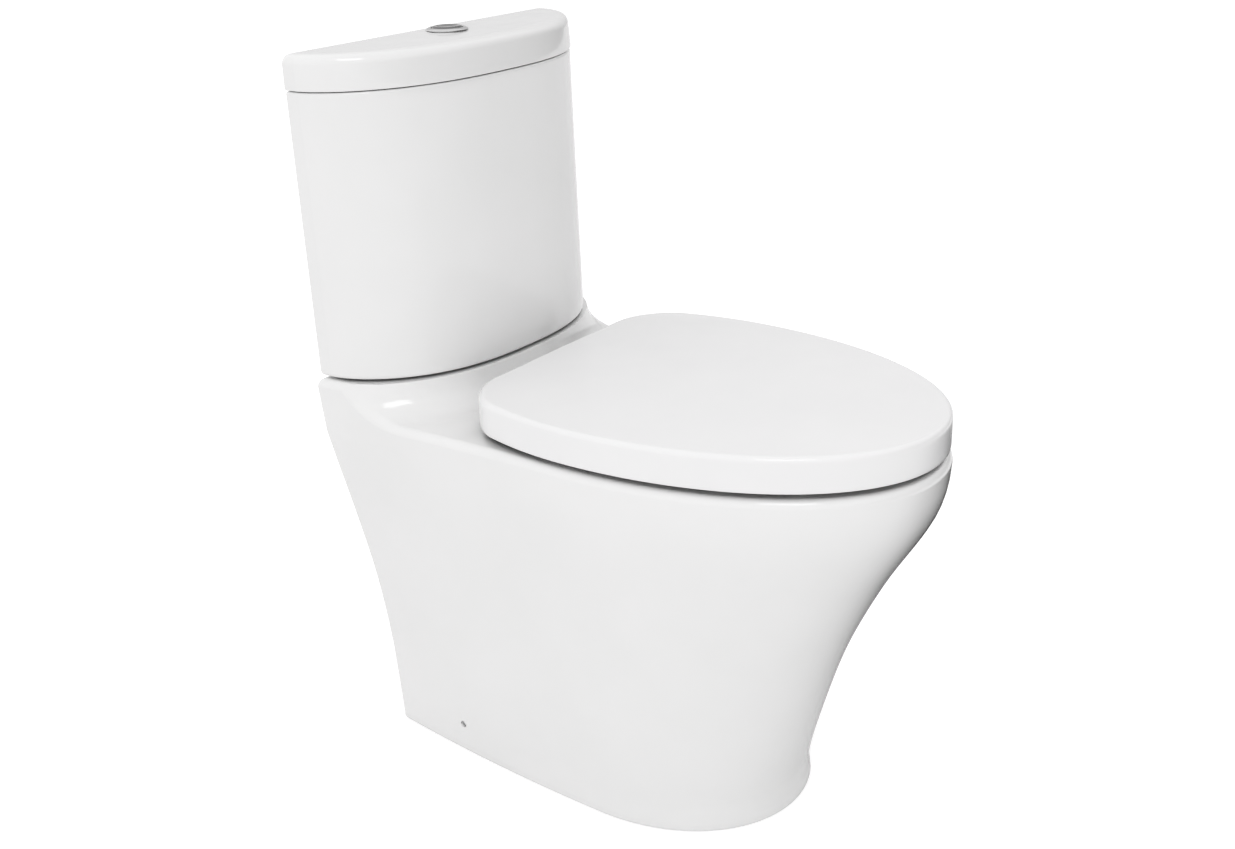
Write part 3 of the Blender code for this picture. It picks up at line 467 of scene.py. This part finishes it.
PLATFORM_HALF = 0.197                          # a little wider than the cistern's foot
PLATFORM_LIP = 0.0016                          # softens the platform's edge
FOOTPRINT = np.array(whole(outline(
    PLATFORM_HALF, PLATFORM_HALF, 0.0, CISTERN_SIDE, CISTERN_SIDE + CISTERN_BOW[0] + 0.001,
    CISTERN_POWERS, BACK_CORNER, (8, 6, 2, 60))))


def outside_cistern(x, d):
    """Distance of plan points, given as arrays, from the cistern's platform; 0 inside it."""
    point = np.stack([x, d], -1)[:, None, :]
    start = FOOTPRINT[None]
    along = np.roll(FOOTPRINT, -1, axis=0)[None] - start
    t = np.clip(((point - start) * along).sum(-1) / np.maximum((along ** 2).sum(-1), 1e-12), 0.0, 1.0)
    nearest = np.linalg.norm(point - start - along * t[..., None], axis=-1).min(1)
    end = start + along
    crosses = (start[..., 1] > point[..., 1]) != (end[..., 1] > point[..., 1])
    rise = np.where(along[..., 1] == 0, 1.0, along[..., 1])
    hit = point[..., 0] < start[..., 0] + (point[..., 1] - start[..., 1]) / rise * along[..., 0]
    return np.where((crosses & hit).sum(1) % 2 == 1, 0.0, nearest)


def deck(x, d, drop=0.0):
    """Height of the pan's top face: rim level, sweeping up to the platform under the cistern."""
    far = np.sqrt(outside_cistern(x, d) ** 2 + PLATFORM_LIP ** 2) - PLATFORM_LIP
    near = np.clip(1 - far / PLATFORM_SWEEP, 0.0, 1.0)
    rise = 1 - np.sqrt(1 - near ** 2)
    return RIM_Z - drop + (PLATFORM_Z - RIM_Z) * rise


def deck_ring(points, drop):
    x, d = (np.array([p[i] for p in points]) for i in (0, 1))
    return [at(a, b, c) for a, b, c in zip(x, d, deck(x, d, drop))]


# ---- pan ----------------------------------------------------------------------------------------
EDGE, EDGE_DROP = 0.008, 0.009                 # reach in and down of the rounding of the pan's top edge
SKIN_TOP = 0.395                               # up to here the outer skin's rings are level
DECK_RINGS = 60


def ellipse(angles, half_x, half_d, centre):
    return [(half_x * math.sin(a), centre + half_d * math.cos(a)) for a in angles]


def deck_rings(edge, angles):
    """Rings from the rounded edge in to the opening, crowded where the surface is steep."""
    lip = ellipse(angles, OPENING[0] + OPENING_ROLL, OPENING[1] + OPENING_ROLL, OPENING[2])
    share = np.linspace(0, 1, 300)
    columns = []
    for (x0, d0), (x1, d1) in zip(edge, lip):
        x, d = mix(x0, x1, share), mix(d0, d1, share)
        z = deck(x, d)
        length = math.hypot(x1 - x0, d1 - d0)
        slope = np.arctan(np.gradient(z, length / len(share)))
        step = 0.4 * length / len(share) + np.abs(np.diff(z)) + 0.012 * np.abs(np.diff(slope))
        way = np.concatenate([[0], np.cumsum(step)])
        t = np.interp(np.linspace(0, way[-1], DECK_RINGS + 1)[1:], way, share)
        x, d = mix(x0, x1, t), mix(d0, d1, t)
        columns.append([at(a, b, c) for a, b, c in zip(x, d, deck(x, d))])
    return [list(ring) for ring in zip(*columns)]


def bowl_levels(top, bottom, count):
    """Bowl sections between two heights: (height, half width, half length, centre)."""
    rows = []
    for k in range(count + 1):
        z = mix(top, bottom, k / count)
        rows.append((z, *(smooth_through([(level[0], level[i]) for level in BOWL[::-1]], z)
                          for i in (1, 2, 3))))
    return rows


def bowl_rings(angles, levels, grow=0.0):
    return [placed(ellipse(angles, half_x + grow, half_d + grow, centre), z)
            for z, half_x, half_d, centre in levels]


def trap_tube(grow, end):
    """Swept tube along the trapway, with the end distance of the spigot."""
    count, parts = 40, 5                       # points round the tube, rings per knot
    knots = TRAP + [(end, TRAP[-1][1], TRAP[-1][2])]
    path = []
    for k in range((len(knots) - 1) * parts + 1):
        t = k / parts
        d, z, r = (smooth_through([(n, row[i]) for n, row in enumerate(knots)], min(t, len(knots) - 1))
                   for i in range(3))
        path.append((d, z, r + grow))
    rings = []
    for i, (d, z, r) in enumerate(path):
        before, after = path[max(i - 1, 0)], path[min(i + 1, len(path) - 1)]
        run = Vector((after[0] - before[0], after[1] - before[1])).normalized()
        rings.append([at(r * math.sin(a), d - r * math.cos(a) * run.y, z + r * math.cos(a) * run.x)
                      for a in (2 * math.pi * (k + 0.5) / count for k in range(count))])
    return loft(rings)


def pan_body():
    """Outer skin, deck, rolled rim and bowl as one closed surface."""
    foot = ((0.0028, 0.0), (0.0008, 0.0008), (0.0, 0.0030))
    rings = [placed(pan_outline(z, inset), z) for inset, z in foot]
    rings += [placed(pan_outline(z), z) for z in np.linspace(0.010, SKIN_TOP, 34)]
    for inset, drop in arc(EDGE, EDGE_DROP, 7):
        rings.append(deck_ring(pan_outline(PLATFORM_Z, inset), drop))
    edge = pan_outline(PLATFORM_Z, EDGE)
    half_x, half_d, centre = OPENING
    angles = [math.atan2(x / half_x, (d - centre) / half_d) for x, d in edge]
    rings += deck_rings(edge, angles)
    # down round the opening, up under the overhang of the rim and down to the top of the bowl
    rim = [(0.0046, RIM_Z - 0.0005), (0.0024, RIM_Z - 0.0020), (0.0008, RIM_Z - 0.0045),
           (0.0, RIM_Z - 0.0075), (0.0, 0.398), (0.0006, 0.3945), (0.0026, 0.3915),
           (0.0052, 0.3905), (0.0080, 0.3920), (0.0100, 0.3955), (0.0118, 0.4000),
           (0.0145, 0.4030), (0.0185, 0.4040), (0.0250, 0.4035), (0.0285, 0.3990),
           (0.0298, 0.3920), (0.0300, 0.3850)]
    for grow, z in rim:
        rings.append(placed(ellipse(angles, half_x + grow, half_d + grow, centre), z))
    rings += bowl_rings(angles, bowl_levels(BOWL[0][0], BOWL[-1][0], 44))
    rings += bowl_rings(angles, [(0.0905, 0.0255, 0.033, 0.3555), (0.0870, 0.0170, 0.0245, 0.355)])
    return loft(rings)


def pan_hollow():
    """The space inside the skirt, open at the floor and at the wall."""
    levels = np.linspace(-0.02, 0.325, 20)
    skirt = loft([placed(pan_outline(z, 0.011), z) for z in levels])
    hollow = made_object("hollow", skirt, MATS["biscuit"])
    # room behind the bowl, then under the platform, then the way out through the back
    combine(hollow, box_shape((-0.148, 0.148), (0.013, 0.225), (0.280, 0.405)), "UNION")
    under = [placed(cistern_outline(CISTERN_Z[0], 0.014), z) for z in (0.39, PLATFORM_Z - 0.012)]
    combine(hollow, loft(under), "UNION")
    combine(hollow, box_shape((-0.100, 0.100), (-0.02, 0.03), (-0.03, 0.335)), "UNION")
    angles = [2 * math.pi * (k + 0.5) / 72 for k in range(72)]
    shell = [(0.43, *BOWL[0][1:])] + bowl_levels(BOWL[0][0], BOWL[-1][0], 16)
    shell.append((0.087, 0.018, 0.026, 0.355))
    # the bowl's, trapway's, flush channel's and valve well's walls stay
    combine(hollow, loft(bowl_rings(angles, shell, WALL)))
    combine(hollow, trap_tube(WALL, SPIGOT_END))
    combine(hollow, box_shape((-0.037, 0.037), (0.0, 0.24), (0.338, 0.43)))
    combine(hollow, turned(rod(0.058, 0.40, 0.50), at(0, FLUSH_D, 0)))
    return hollow


def make_pan():
    pan = made_object("pan_body", pan_body(), MATS["china"])
    hollow = pan_hollow()
    change = pan.modifiers.new("hollow", "BOOLEAN")
    change.solver, change.object, change.material_mode = "EXACT", hollow, "TRANSFER"
    settle(pan)
    bpy.data.objects.remove(hollow, do_unlink=True)
    # the bores of the trapway and of the flush channel, then the drilled holes
    combine(pan, trap_tube(0.0, SPIGOT_END - 0.02))
    combine(pan, box_shape((-0.026, 0.026), (0.038, 0.222), (0.348, 0.398)))
    well = [(0, 0.36), (VALVE_BORE, 0.36), (VALVE_BORE, 0.4320), (0.048, 0.4320), (0.048, 0.48),
            (0, 0.48)]
    drills = [turned(well, at(0, FLUSH_D, 0)),
              turned(rod(0.0200, 0.38, 0.50), at(FILL_X, FILL_D, 0), 40)]
    for side in (-1, 1):
        drills.append(turned(rod(0.0060, 0.38, 0.48), at(side * BOLT_X, FLUSH_D, 0), 28))
        drills.append(turned(rod(0.0065, 0.36, 0.46), at(side * HINGE_X, HINGE_D, 0), 28))
        drills.append(turned(rod(0.0042, -0.06, 0.06), at(side * 0.15, *SIDE_FIX), 28, "X"))
    combine(pan, together(drills))
    dress(pan, "pan_body", "fixed", ["pan"])


# ---- cistern and lid ----------------------------------------------------------------------------
LID_SEAT = 0.0194                              # radius of the hole for the button's shank


def make_cistern():
    low, high = CISTERN_Z
    floor = low + CISTERN_FLOOR
    outer = [(0.0042, low), (0.0024, low + 0.0003), (0.0010, low + 0.0013), (0.0003, low + 0.0026),
             (0.0, low + 0.0045)]
    outer += [(0.0, z) for z in np.linspace(low + 0.02, high - 0.012, 9)]
    outer += [(0.0, high - 0.0030), (0.0004, high - 0.0013), (0.0013, high - 0.0004), (0.0026, high),
              (WALL - 0.0022, high), (WALL - 0.0008, high - 0.0006), (WALL, high - 0.0020)]
    inner = [(WALL, 0.70), (WALL, 0.60), (WALL, 0.50), (0.0095, floor + 0.007), (0.0105, floor + 0.0040),
             (0.0130, floor + 0.0012), (0.0165, floor)]
    rings = [placed(cistern_outline(z, inset), z) for inset, z in outer + inner]
    cistern = made_object("cistern_body", loft(rings), MATS["china"])
    combine(cistern, turned(rod(VALVE_BORE, 0.44, 0.48), at(0, FLUSH_D, 0)))
    combine(cistern, turned(rod(0.0118, 0.44, 0.48), at(FILL_X, FILL_D, 0), 40))
    for side in (-1, 1):
        combine(cistern, turned(rod(0.0056, 0.44, 0.48), at(side * BOLT_X, FLUSH_D, 0), 28))
    dress(cistern, "cistern_body", "fixed", ["cistern"])


def make_lid():
    """Lid with a softly rounded top edge and a locating lip that hangs inside the cistern."""
    low, high = LID_Z
    edges = [(0.0022, low), (0.0008, low + 0.0004), (0.0, low + 0.0018), (0.0, mix(low, high, 0.4)),
             (0.0, high - 0.010), (0.0003, high - 0.0076), (0.0010, high - 0.0054),
             (0.0021, high - 0.0035), (0.0036, high - 0.0021), (0.0055, high - 0.0011),
             (0.0080, high - 0.0004), (0.0120, high)]
    rings = []
    for inset, z in edges:
        lean = LID_LEAN * (z - low) / (high - low)
        rings.append(placed(cistern_outline(CISTERN_Z[1], inset, LID_OVERHANG, lean), z))
    last = cistern_outline(CISTERN_Z[1], edges[-1][0], LID_OVERHANG, LID_LEAN)
    rings += [placed(towards(last, (0.045, 0.060), t), high) for t in (0.06, 0.2, 0.4, 0.6, 0.8)]
    rings = rings[::-1]
    under = [(0.0105, low), (0.0105, low - 0.0078), (0.0115, low - 0.0090), (0.0170, low - 0.0090),
             (0.0180, low - 0.0078), (0.0180, low + 0.002), (0.0140, low + 0.002), (0.0135, low + 0.004),
             (0.0135, high - 0.014), (0.0150, high - 0.0112), (0.0190, high - 0.010)]
    rings += [placed(cistern_outline(CISTERN_Z[1], i), z) for i, z in under]
    lid = made_object("lid_body", loft(rings), MATS["china"])
    combine(lid, turned(rod(LID_SEAT, 0.74, 0.80), at(0, BUTTON_D, 0)))
    dress(lid, "lid_body", "cistern_lid", ["cistern_lid"])


# ---- dual flush button --------------------------------------------------------------------------
BUTTON_RADIUS = 0.0162
SPLIT_X = 0.0085                               # centre of the circle that parts the two buttons
SPLIT_GAP = 0.0003                             # each button's distance from that circle


def make_button():
    top = LID_Z[1]
    centre = at(0, BUTTON_D, 0)
    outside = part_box("button_housing")[1].x
    # up the shank, out under the bezel, over its face and down into the well
    profile = [(0, 0.7500), (0.0186, 0.7500), (0.0186, top + 0.0004), (outside - 0.0003, top + 0.0004),
               (outside, top + 0.0007), (outside, top + 0.0013), (outside - 0.0004, top + 0.0018),
               (outside - 0.0014, top + 0.0023), (0.0200, top + 0.0027), (0.0190, top + 0.0031),
               (0.0182, top + 0.0032), (0.0175, top + 0.0030), (0.0170, top + 0.0025),
               (0.0168, top + 0.0016), (0.0168, top - 0.012), (0.0160, top - 0.014), (0.0160, 0.7530),
               (0, 0.7530)]
    housing = made_object("bezel", turned(profile, centre, 96), MATS["chrome"])
    for name in ("full", "half"):
        x = middle(f"{name}_flush_rod").x
        combine(housing, turned(rod(0.0031, 0.74, 0.76), at(x, BUTTON_D, 0), 24))
    dress(housing, "bezel", "cistern_lid", ["button_housing"])

    low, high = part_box("full_flush_button")[0].z, BUTTON_TOP
    # flat bottom, rounded rim and a shallow finger dish
    disc = [(0, low), (BUTTON_RADIUS - 0.0005, low), (BUTTON_RADIUS, low + 0.0005),
            (BUTTON_RADIUS, high - 0.0024), (BUTTON_RADIUS - 0.0003, high - 0.0014),
            (BUTTON_RADIUS - 0.0010, high - 0.0006), (BUTTON_RADIUS - 0.0021, high - 0.0001),
            (BUTTON_RADIUS - 0.0034, high), (0.0100, high - 0.0004), (0.0060, high - 0.0009),
            (0.0030, high - 0.0011), (0.0, high - 0.0012)]
    for name, operation, radius in (("full", "INTERSECT", BUTTON_RADIUS - SPLIT_GAP),
                                    ("half", "DIFFERENCE", BUTTON_RADIUS + SPLIT_GAP)):
        # the caps' darker chrome is a painted reflection of a dim room
        cap = made_object(name, turned(disc, centre, 96), MATS["button_chrome_painted_reflection"])
        combine(cap, turned(rod(radius, 0.77, 0.80), at(SPLIT_X, BUTTON_D, 0), 96), operation)
        dress(cap, f"{name}_button_cap", f"{name}_button", [f"{name}_flush_button"])
        broken_edge(cap, "edge", 0.00035, 3)


def make_springs():
    """Compression springs of round wire with closed ends."""
    turns, per_turn, sides, wire = 6, 32, 10, 0.00032
    for name in ("full", "half"):
        node = f"{name}_flush_spring"
        bottom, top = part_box(node)[0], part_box(node)[1]
        centre = middle(f"{name}_flush_rod")
        radius = top.x - centre.x - wire
        rings = []
        for k in range(turns * per_turn + 1):
            t = k / (turns * per_turn)
            a = 2 * math.pi * k / per_turn
            pitch = t * t * (3 - 2 * t) * 0.6 + t * 0.4
            z = mix(bottom.z + wire, top.z - wire, pitch)
            out = Vector((math.cos(a), math.sin(a), 0))
            rings.append([Vector((centre.x, centre.y, z)) + out * (radius + wire * math.cos(b))
                          + Vector((0, 0, wire * math.sin(b)))
                          for b in (2 * math.pi * s / sides for s in range(sides))])
        spring = made_object(f"{name}_spring_coil", loft(rings), MATS["stainless_steel"])
        dress(spring, f"{name}_spring_coil", "cistern_lid", [node], 60.0)
        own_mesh(spring)


# ---- seat ---------------------------------------------------------------------------------------
SEAT_COUNTS = (10, 16, 14, 34)
CREST = (0.25, 0.43)                           # the line, from and to, that the seat's faces run in to
SWEEP = (0.0, 0.02, 0.05, 0.10, 0.18, 0.28, 0.40, 0.52, 0.64, 0.76, 0.88, 1.0)    # steps in to that line
COVER_EDGE = (0.0048, 0.0060)                  # reach in and down of the rounding of the cover's top edge
RING_INSET = 0.0085                            # the ring's edge lies this far inside the cover's
LUG_RADIUS = 0.0074


def cover_outline(inset):
    half = [h - inset for h in COVER_HALF]
    return whole(outline(half[0], half[1], COVER_BACK + inset, COVER_MID, COVER_FRONT - inset,
                         COVER_POWERS, 0.046, SEAT_COUNTS))


def domed(edge):
    """Height of a surface that rises from its edge to the middle of the seat."""
    def level(x, d):
        off = math.hypot(x / COVER_HALF[1], (d - 0.37) / 0.24)
        return edge + COVER_CROWN * max(1 - off * off, 0.0)
    return level


def lug(centre_x, arc_angles, corners):
    """Hinge lug: a rounded plate about the hinge axis, with straight sides out to its corners."""
    turn = [math.radians(mix(*arc_angles, k / 32)) for k in range(33)]
    plate = [(HINGE_D + LUG_RADIUS * math.cos(a), HINGE_Z + LUG_RADIUS * math.sin(a)) for a in turn]
    plate += corners
    return loft([[at(centre_x + x, d, z) for d, z in plate] for x in (-0.006, 0.006)])


def hinge_bore(centre_x):
    return turned(rod(0.0054, -0.012, 0.012), at(centre_x, HINGE_D, HINGE_Z), 40, "X")


def make_cover():
    low, high = COVER_Z
    outer = [(0.0018, low), (0.0007, low + 0.0007), (0.0002, low + 0.0020), (0.0, low + 0.0045)]
    outer += [(0.0, z) for z in np.linspace(low + 0.010, high - COVER_EDGE[1] - 0.002, 3)]
    outer += [(COVER_EDGE[0] * (1 - math.cos(a)), high - COVER_EDGE[1] * (1 - math.sin(a)))
              for a in (math.pi / 2 * k / 9 for k in range(1, 9))]
    rings = [placed(cover_outline(i), z) for i, z in outer]
    last = cover_outline(COVER_EDGE[0])
    inner = [(0.0028, low), (0.0040, low + 0.0006), (0.0045, low + 0.0018), (0.0045, mix(low, high, 0.4)),
             (0.0045, high - 0.0112), (0.0052, high - 0.0085), (0.0068, high - 0.0062),
             (0.0100, high - 0.0048)]
    rings += [placed(towards(last, CREST, t), domed(high)) for t in SWEEP]
    rings = rings[::-1] + [placed(cover_outline(i), z) for i, z in inner]
    last = cover_outline(inner[-1][0])
    rings += [placed(towards(last, CREST, t), domed(high - 0.0046)) for t in SWEEP[1:]]
    cover = made_object("cover_body", loft(rings, capped=False), MATS["seat_plastic"])
    for side in (-1, 1):
        notch = sorted((side * 0.0555, side * 0.0955))
        combine(cover, box_shape(notch, (0.155, 0.1755), (0.41, 0.4530)))
        place = side * 0.0915
        top = high - 0.003
        corners = [(HINGE_D + LUG_RADIUS, top), (HINGE_D - LUG_RADIUS, top)]
        combine(cover, lug(place, (180, 360), corners), "UNION")
        combine(cover, hinge_bore(place))
    dress(cover, "cover_body", "seat_cover", ["seat_cover"])


def make_ring():
    """Seat ring with a rounded sitting face that slopes in to the hole."""
    low, high = RING_Z
    outer = [(0.0018, low), (0.0005, low + 0.0006), (0.0, low + 0.0020), (0.0, high - 0.0062),
             (0.0004, high - 0.0040), (0.0014, high - 0.0022), (0.0030, high - 0.0009),
             (0.0055, high - 0.0002), (0.0090, high)]
    hole = [(0.0190, high), (0.0120, high - 0.0003), (0.0070, high - 0.0012), (0.0035, high - 0.0028),
            (0.0012, high - 0.0050), (0.0, high - 0.0080), (0.0, low + 0.0022), (0.0006, low + 0.0007),
            (0.0020, low)]
    rings = []
    for inset, z in outer:
        half = [h - RING_INSET - inset for h in COVER_HALF]
        plan = outline(half[0], half[1], RING_BACK + inset, COVER_MID, COVER_FRONT - RING_INSET - inset,
                       COVER_POWERS, 0.040, SEAT_COUNTS)
        rings.append(placed(whole(plan), z))
    for grow, z in hole:
        plan = outline(0.096 + grow, 0.112 + grow, 0.262 - grow, 0.385, 0.533 + grow, (2.0, 2.0), 0.060,
                       SEAT_COUNTS)
        rings.append(placed(whole(plan), z))
    seat = made_object("ring_body", loft(rings, around=True), MATS["seat_plastic"])
    for side in (-1, 1):
        place = side * 0.0635
        corners = [(RING_BACK + 0.010, HINGE_Z - LUG_RADIUS), (RING_BACK + 0.010, high - 0.001)]
        combine(seat, lug(place, (60, 270), corners), "UNION")
        combine(seat, hinge_bore(place))
    dress(seat, "ring_body", "seat_ring", ["seat_ring"])


# ---- carried-over CAD nodes ---------------------------------------------------------------------
SLOT_NODES = {
    "valve_plastic": ["button_nut", "full_flush_rod", "half_flush_rod", "valve_basket", "valve_back_nut",
                      "fill_column", "fill_back_nut", "fill_lever", "float_link"],
    "grey_plastic": ["cover_damper", "seat_damper", "valve_cap", "fill_cap"],
    "blue_plastic": ["overflow_tube", "full_flush_plunger", "half_flush_plunger"],
    "rubber": ["coupling_gasket", "valve_gasket", "fill_seal", "bolt_seal_left", "bolt_seal_right",
               "hinge_washer_left", "hinge_washer_right"],
    "white_rubber": ["valve_seal", "fill_float", "cover_buffer_1", "cover_buffer_2", "seat_buffer_1",
                     "seat_buffer_2", "seat_buffer_3", "seat_buffer_4"],
    "brass": ["coupling_bolt_left", "coupling_bolt_right", "wing_nut_left", "wing_nut_right"],
    "stainless_steel": ["hinge_post_left", "hinge_post_right", "hinge_flange_left", "hinge_flange_right",
                        "hinge_pin_left", "hinge_pin_right", "hinge_nut_left", "hinge_nut_right",
                        "bolt_washer_left", "bolt_washer_right", "floor_bracket_left",
                        "floor_bracket_right", "side_screw_left", "side_screw_right"],
}
EDGE_ROUND = 0.0004                            # broken edges of the carried-over pieces


def finish_nodes():
    for slot, nodes in SLOT_NODES.items():
        for name in nodes:
            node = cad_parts[name]
            node.data.materials.clear()
            node.data.materials.append(MATS[slot])
            broken_edge(node, "broken_edges", EDGE_ROUND, 2).harden_normals = True


# ---- floor, light and camera --------------------------------------------------------------------
BACKDROP_LIGHT = 1.05                          # what the camera sees behind the object
LIGHT_FROM = (-0.597, 0.802, 1.0)              # the surroundings are dull low down on the other side
LIGHT_SPAN = (-0.9, 0.0)                       # where along that direction dull turns to bright
LIGHT_LEVELS = (0.20, 1.02)                    # dull and bright
DARK_AHEAD = (0.76, 0.54, 0.37)                # glossy faces mirror a dimmer backdrop in this direction,
DARK_SPAN = (0.80, 0.96)                       # which sets in between these cosines
DARK_SHARE = 0.28                              # and takes away this much of the light
SHADE_SPOT = (0.74, -0.48, 0.0)                # the floor throws back less light round here,
SHADE_REACH = (0.30, 0.85)                     # from dull at the first distance to bright at the second
FLOOR_LEVELS = (0.05, 0.88)                    # dull and bright
TONE_CURVE = [(0.12, 0.045), (0.35, 0.26), (0.65, 0.635)]     # light in, light out: deepens dark seams
CAMERA_TURN = (-53.34, 22.132, -1.743)         # yaw, pitch and roll in degrees
CAMERA_PLACE = (-1.189, BACK_Y - 1.128, 0.991)
SENSOR, LENS = 36.0, 43.95                     # mm


def plain_floor():
    """Pale floor that the camera sees as white and that lights the object a little from below."""
    corners = ((-12, -12), (12, -12), (12, 12), (-12, 12))
    rings = [[Vector((x, y, z)) for x, y in corners] for z in (-0.02, 0)]
    made = Nodes("floor", (0.60, 0.60, 0.60), 0.9)
    made.vary_colour(made.noise(2.0), (0.595, 0.595, 0.595), (0.605, 0.605, 0.605))
    made.shader.inputs["Emission Color"].default_value = (1, 1, 1, 1)
    made.shader.inputs["Emission Strength"].default_value = 0.55
    # other rays meet a plain grey that is dull round the shade spot
    place = made.add("ShaderNodeNewGeometry")
    away = made.add("ShaderNodeVectorMath")
    away.operation = "DISTANCE"
    away.inputs[1].default_value = SHADE_SPOT
    level = made.add("ShaderNodeMapRange", from_=SHADE_REACH, to=FLOOR_LEVELS)
    level.interpolation_type = "SMOOTHSTEP"
    grey = made.add("ShaderNodeBsdfDiffuse")
    choice, path = made.add("ShaderNodeMixShader"), made.add("ShaderNodeLightPath")
    for out, into in ((place.outputs["Position"], away.inputs[0]),
                      (away.outputs["Value"], level.inputs["Value"]),
                      (level.outputs["Result"], grey.inputs["Color"]),
                      (path.outputs["Is Camera Ray"], choice.inputs["Fac"]),
                      (grey.outputs["BSDF"], choice.inputs[1]),
                      (made.shader.outputs["BSDF"], choice.inputs[2]),
                      (choice.outputs["Shader"], made.tree.nodes["Material Output"].inputs["Surface"])):
        made.tree.links.new(out, into)
    made_object("studio_floor", loft(rings), made.material)


def soft_light(name, place, target, size, power, mirrored=True):
    lamp = bpy.data.lights.new(name, "AREA")
    lamp.shape, lamp.size, lamp.size_y, lamp.energy = "RECTANGLE", *size, power
    holder = bpy.data.objects.new(name, lamp)
    holder.location = place
    holder.visible_glossy = mirrored
    holder.rotation_euler = (Vector(target) - Vector(place)).to_track_quat("-Z", "Y").to_euler()
    bpy.context.scene.collection.objects.link(holder)


def by_direction(tree, direction, facing, span, levels):
    """Goes from one level to the other as a direction turns to the given one."""
    lean = tree.nodes.new("ShaderNodeVectorMath")
    lean.operation = "DOT_PRODUCT"
    lean.inputs[1].default_value = facing
    spread = tree.nodes.new("ShaderNodeMapRange")
    spread.interpolation_type = "SMOOTHSTEP"
    for socket, value in zip(("From Min", "From Max", "To Min", "To Max"), (*span, *levels)):
        spread.inputs[socket].default_value = value
    tree.links.new(direction, lean.inputs[0])
    tree.links.new(lean.outputs["Value"], spread.inputs["Value"])
    return spread.outputs["Result"]


def studio():
    """White surroundings, dull low down on the right, a dimmer part that only reflections see, and
    two soft lights, of which one leaves highlights."""
    world = bpy.data.worlds.new("studio")
    world.use_nodes = True
    tree = world.node_tree
    light = tree.nodes["Background"]
    backdrop = tree.nodes.new("ShaderNodeBackground")
    backdrop.inputs["Strength"].default_value = BACKDROP_LIGHT
    backdrop.inputs["Color"].default_value = (1.0, 1.0, 1.0, 1.0)
    light.inputs["Color"].default_value = (1.0, 0.995, 1.0, 1.0)
    direction = tree.nodes.new("ShaderNodeTexCoord").outputs["Generated"]
    bright = by_direction(tree, direction, LIGHT_FROM, LIGHT_SPAN, LIGHT_LEVELS)
    dark = by_direction(tree, direction, DARK_AHEAD, DARK_SPAN, (0.0, DARK_SHARE))
    seen, left, level = (tree.nodes.new("ShaderNodeMath") for _ in range(3))
    seen.operation, left.operation, level.operation = "MULTIPLY", "SUBTRACT", "MULTIPLY"
    left.inputs[0].default_value = 1.0
    choice, path = tree.nodes.new("ShaderNodeMixShader"), tree.nodes.new("ShaderNodeLightPath")
    for out, into in ((dark, seen.inputs[0]),
                      (path.outputs["Is Glossy Ray"], seen.inputs[1]),
                      (seen.outputs["Value"], left.inputs[1]),
                      (left.outputs["Value"], level.inputs[0]),
                      (bright, level.inputs[1]),
                      (level.outputs["Value"], light.inputs["Strength"]),
                      (path.outputs["Is Camera Ray"], choice.inputs["Fac"]),
                      (light.outputs["Background"], choice.inputs[1]),
                      (backdrop.outputs["Background"], choice.inputs[2]),
                      (choice.outputs["Shader"], tree.nodes["World Output"].inputs["Surface"])):
        tree.links.new(out, into)
    scene = bpy.context.scene
    scene.world = world
    scene.view_settings.view_transform = "Standard"
    scene.view_settings.look = "None"
    scene.view_settings.use_curve_mapping = True
    curve = scene.view_settings.curve_mapping
    for low, high in TONE_CURVE:
        curve.curves[3].points.new(low, high)
    curve.update()
    soft_light("key", (-1.5, -1.2, 2.6), (0, 0, 0.4), (1.0, 0.8), 7.0)
    soft_light("fill", (-1.9, -2.6, 0.7), (0, 0, 0.35), (2.4, 1.6), 5.0, mirrored=False)


def camera():
    """The photo's camera."""
    yaw, pitch, roll = (math.radians(a) for a in CAMERA_TURN)
    back = Vector((math.sin(yaw) * math.cos(pitch), -math.cos(yaw) * math.cos(pitch), math.sin(pitch)))
    right = Vector((math.cos(yaw), math.sin(yaw), 0))
    up = back.cross(right)
    right, up = (math.cos(roll) * right + math.sin(roll) * up,
                 math.cos(roll) * up - math.sin(roll) * right)
    lens = bpy.data.cameras.new("camera")
    lens.sensor_width, lens.lens = SENSOR, LENS
    eye = bpy.data.objects.new("camera", lens)
    bpy.context.scene.collection.objects.link(eye)
    rows = [[*row, p] for row, p in zip(zip(right, up, back), CAMERA_PLACE)]
    eye.matrix_world = Matrix(rows + [[0, 0, 0, 1]])
    bpy.context.scene.camera = eye


make_pan()
make_cistern()
make_lid()
make_button()
make_springs()
make_cover()
make_ring()
finish_nodes()
plain_floor()
studio()
camera()
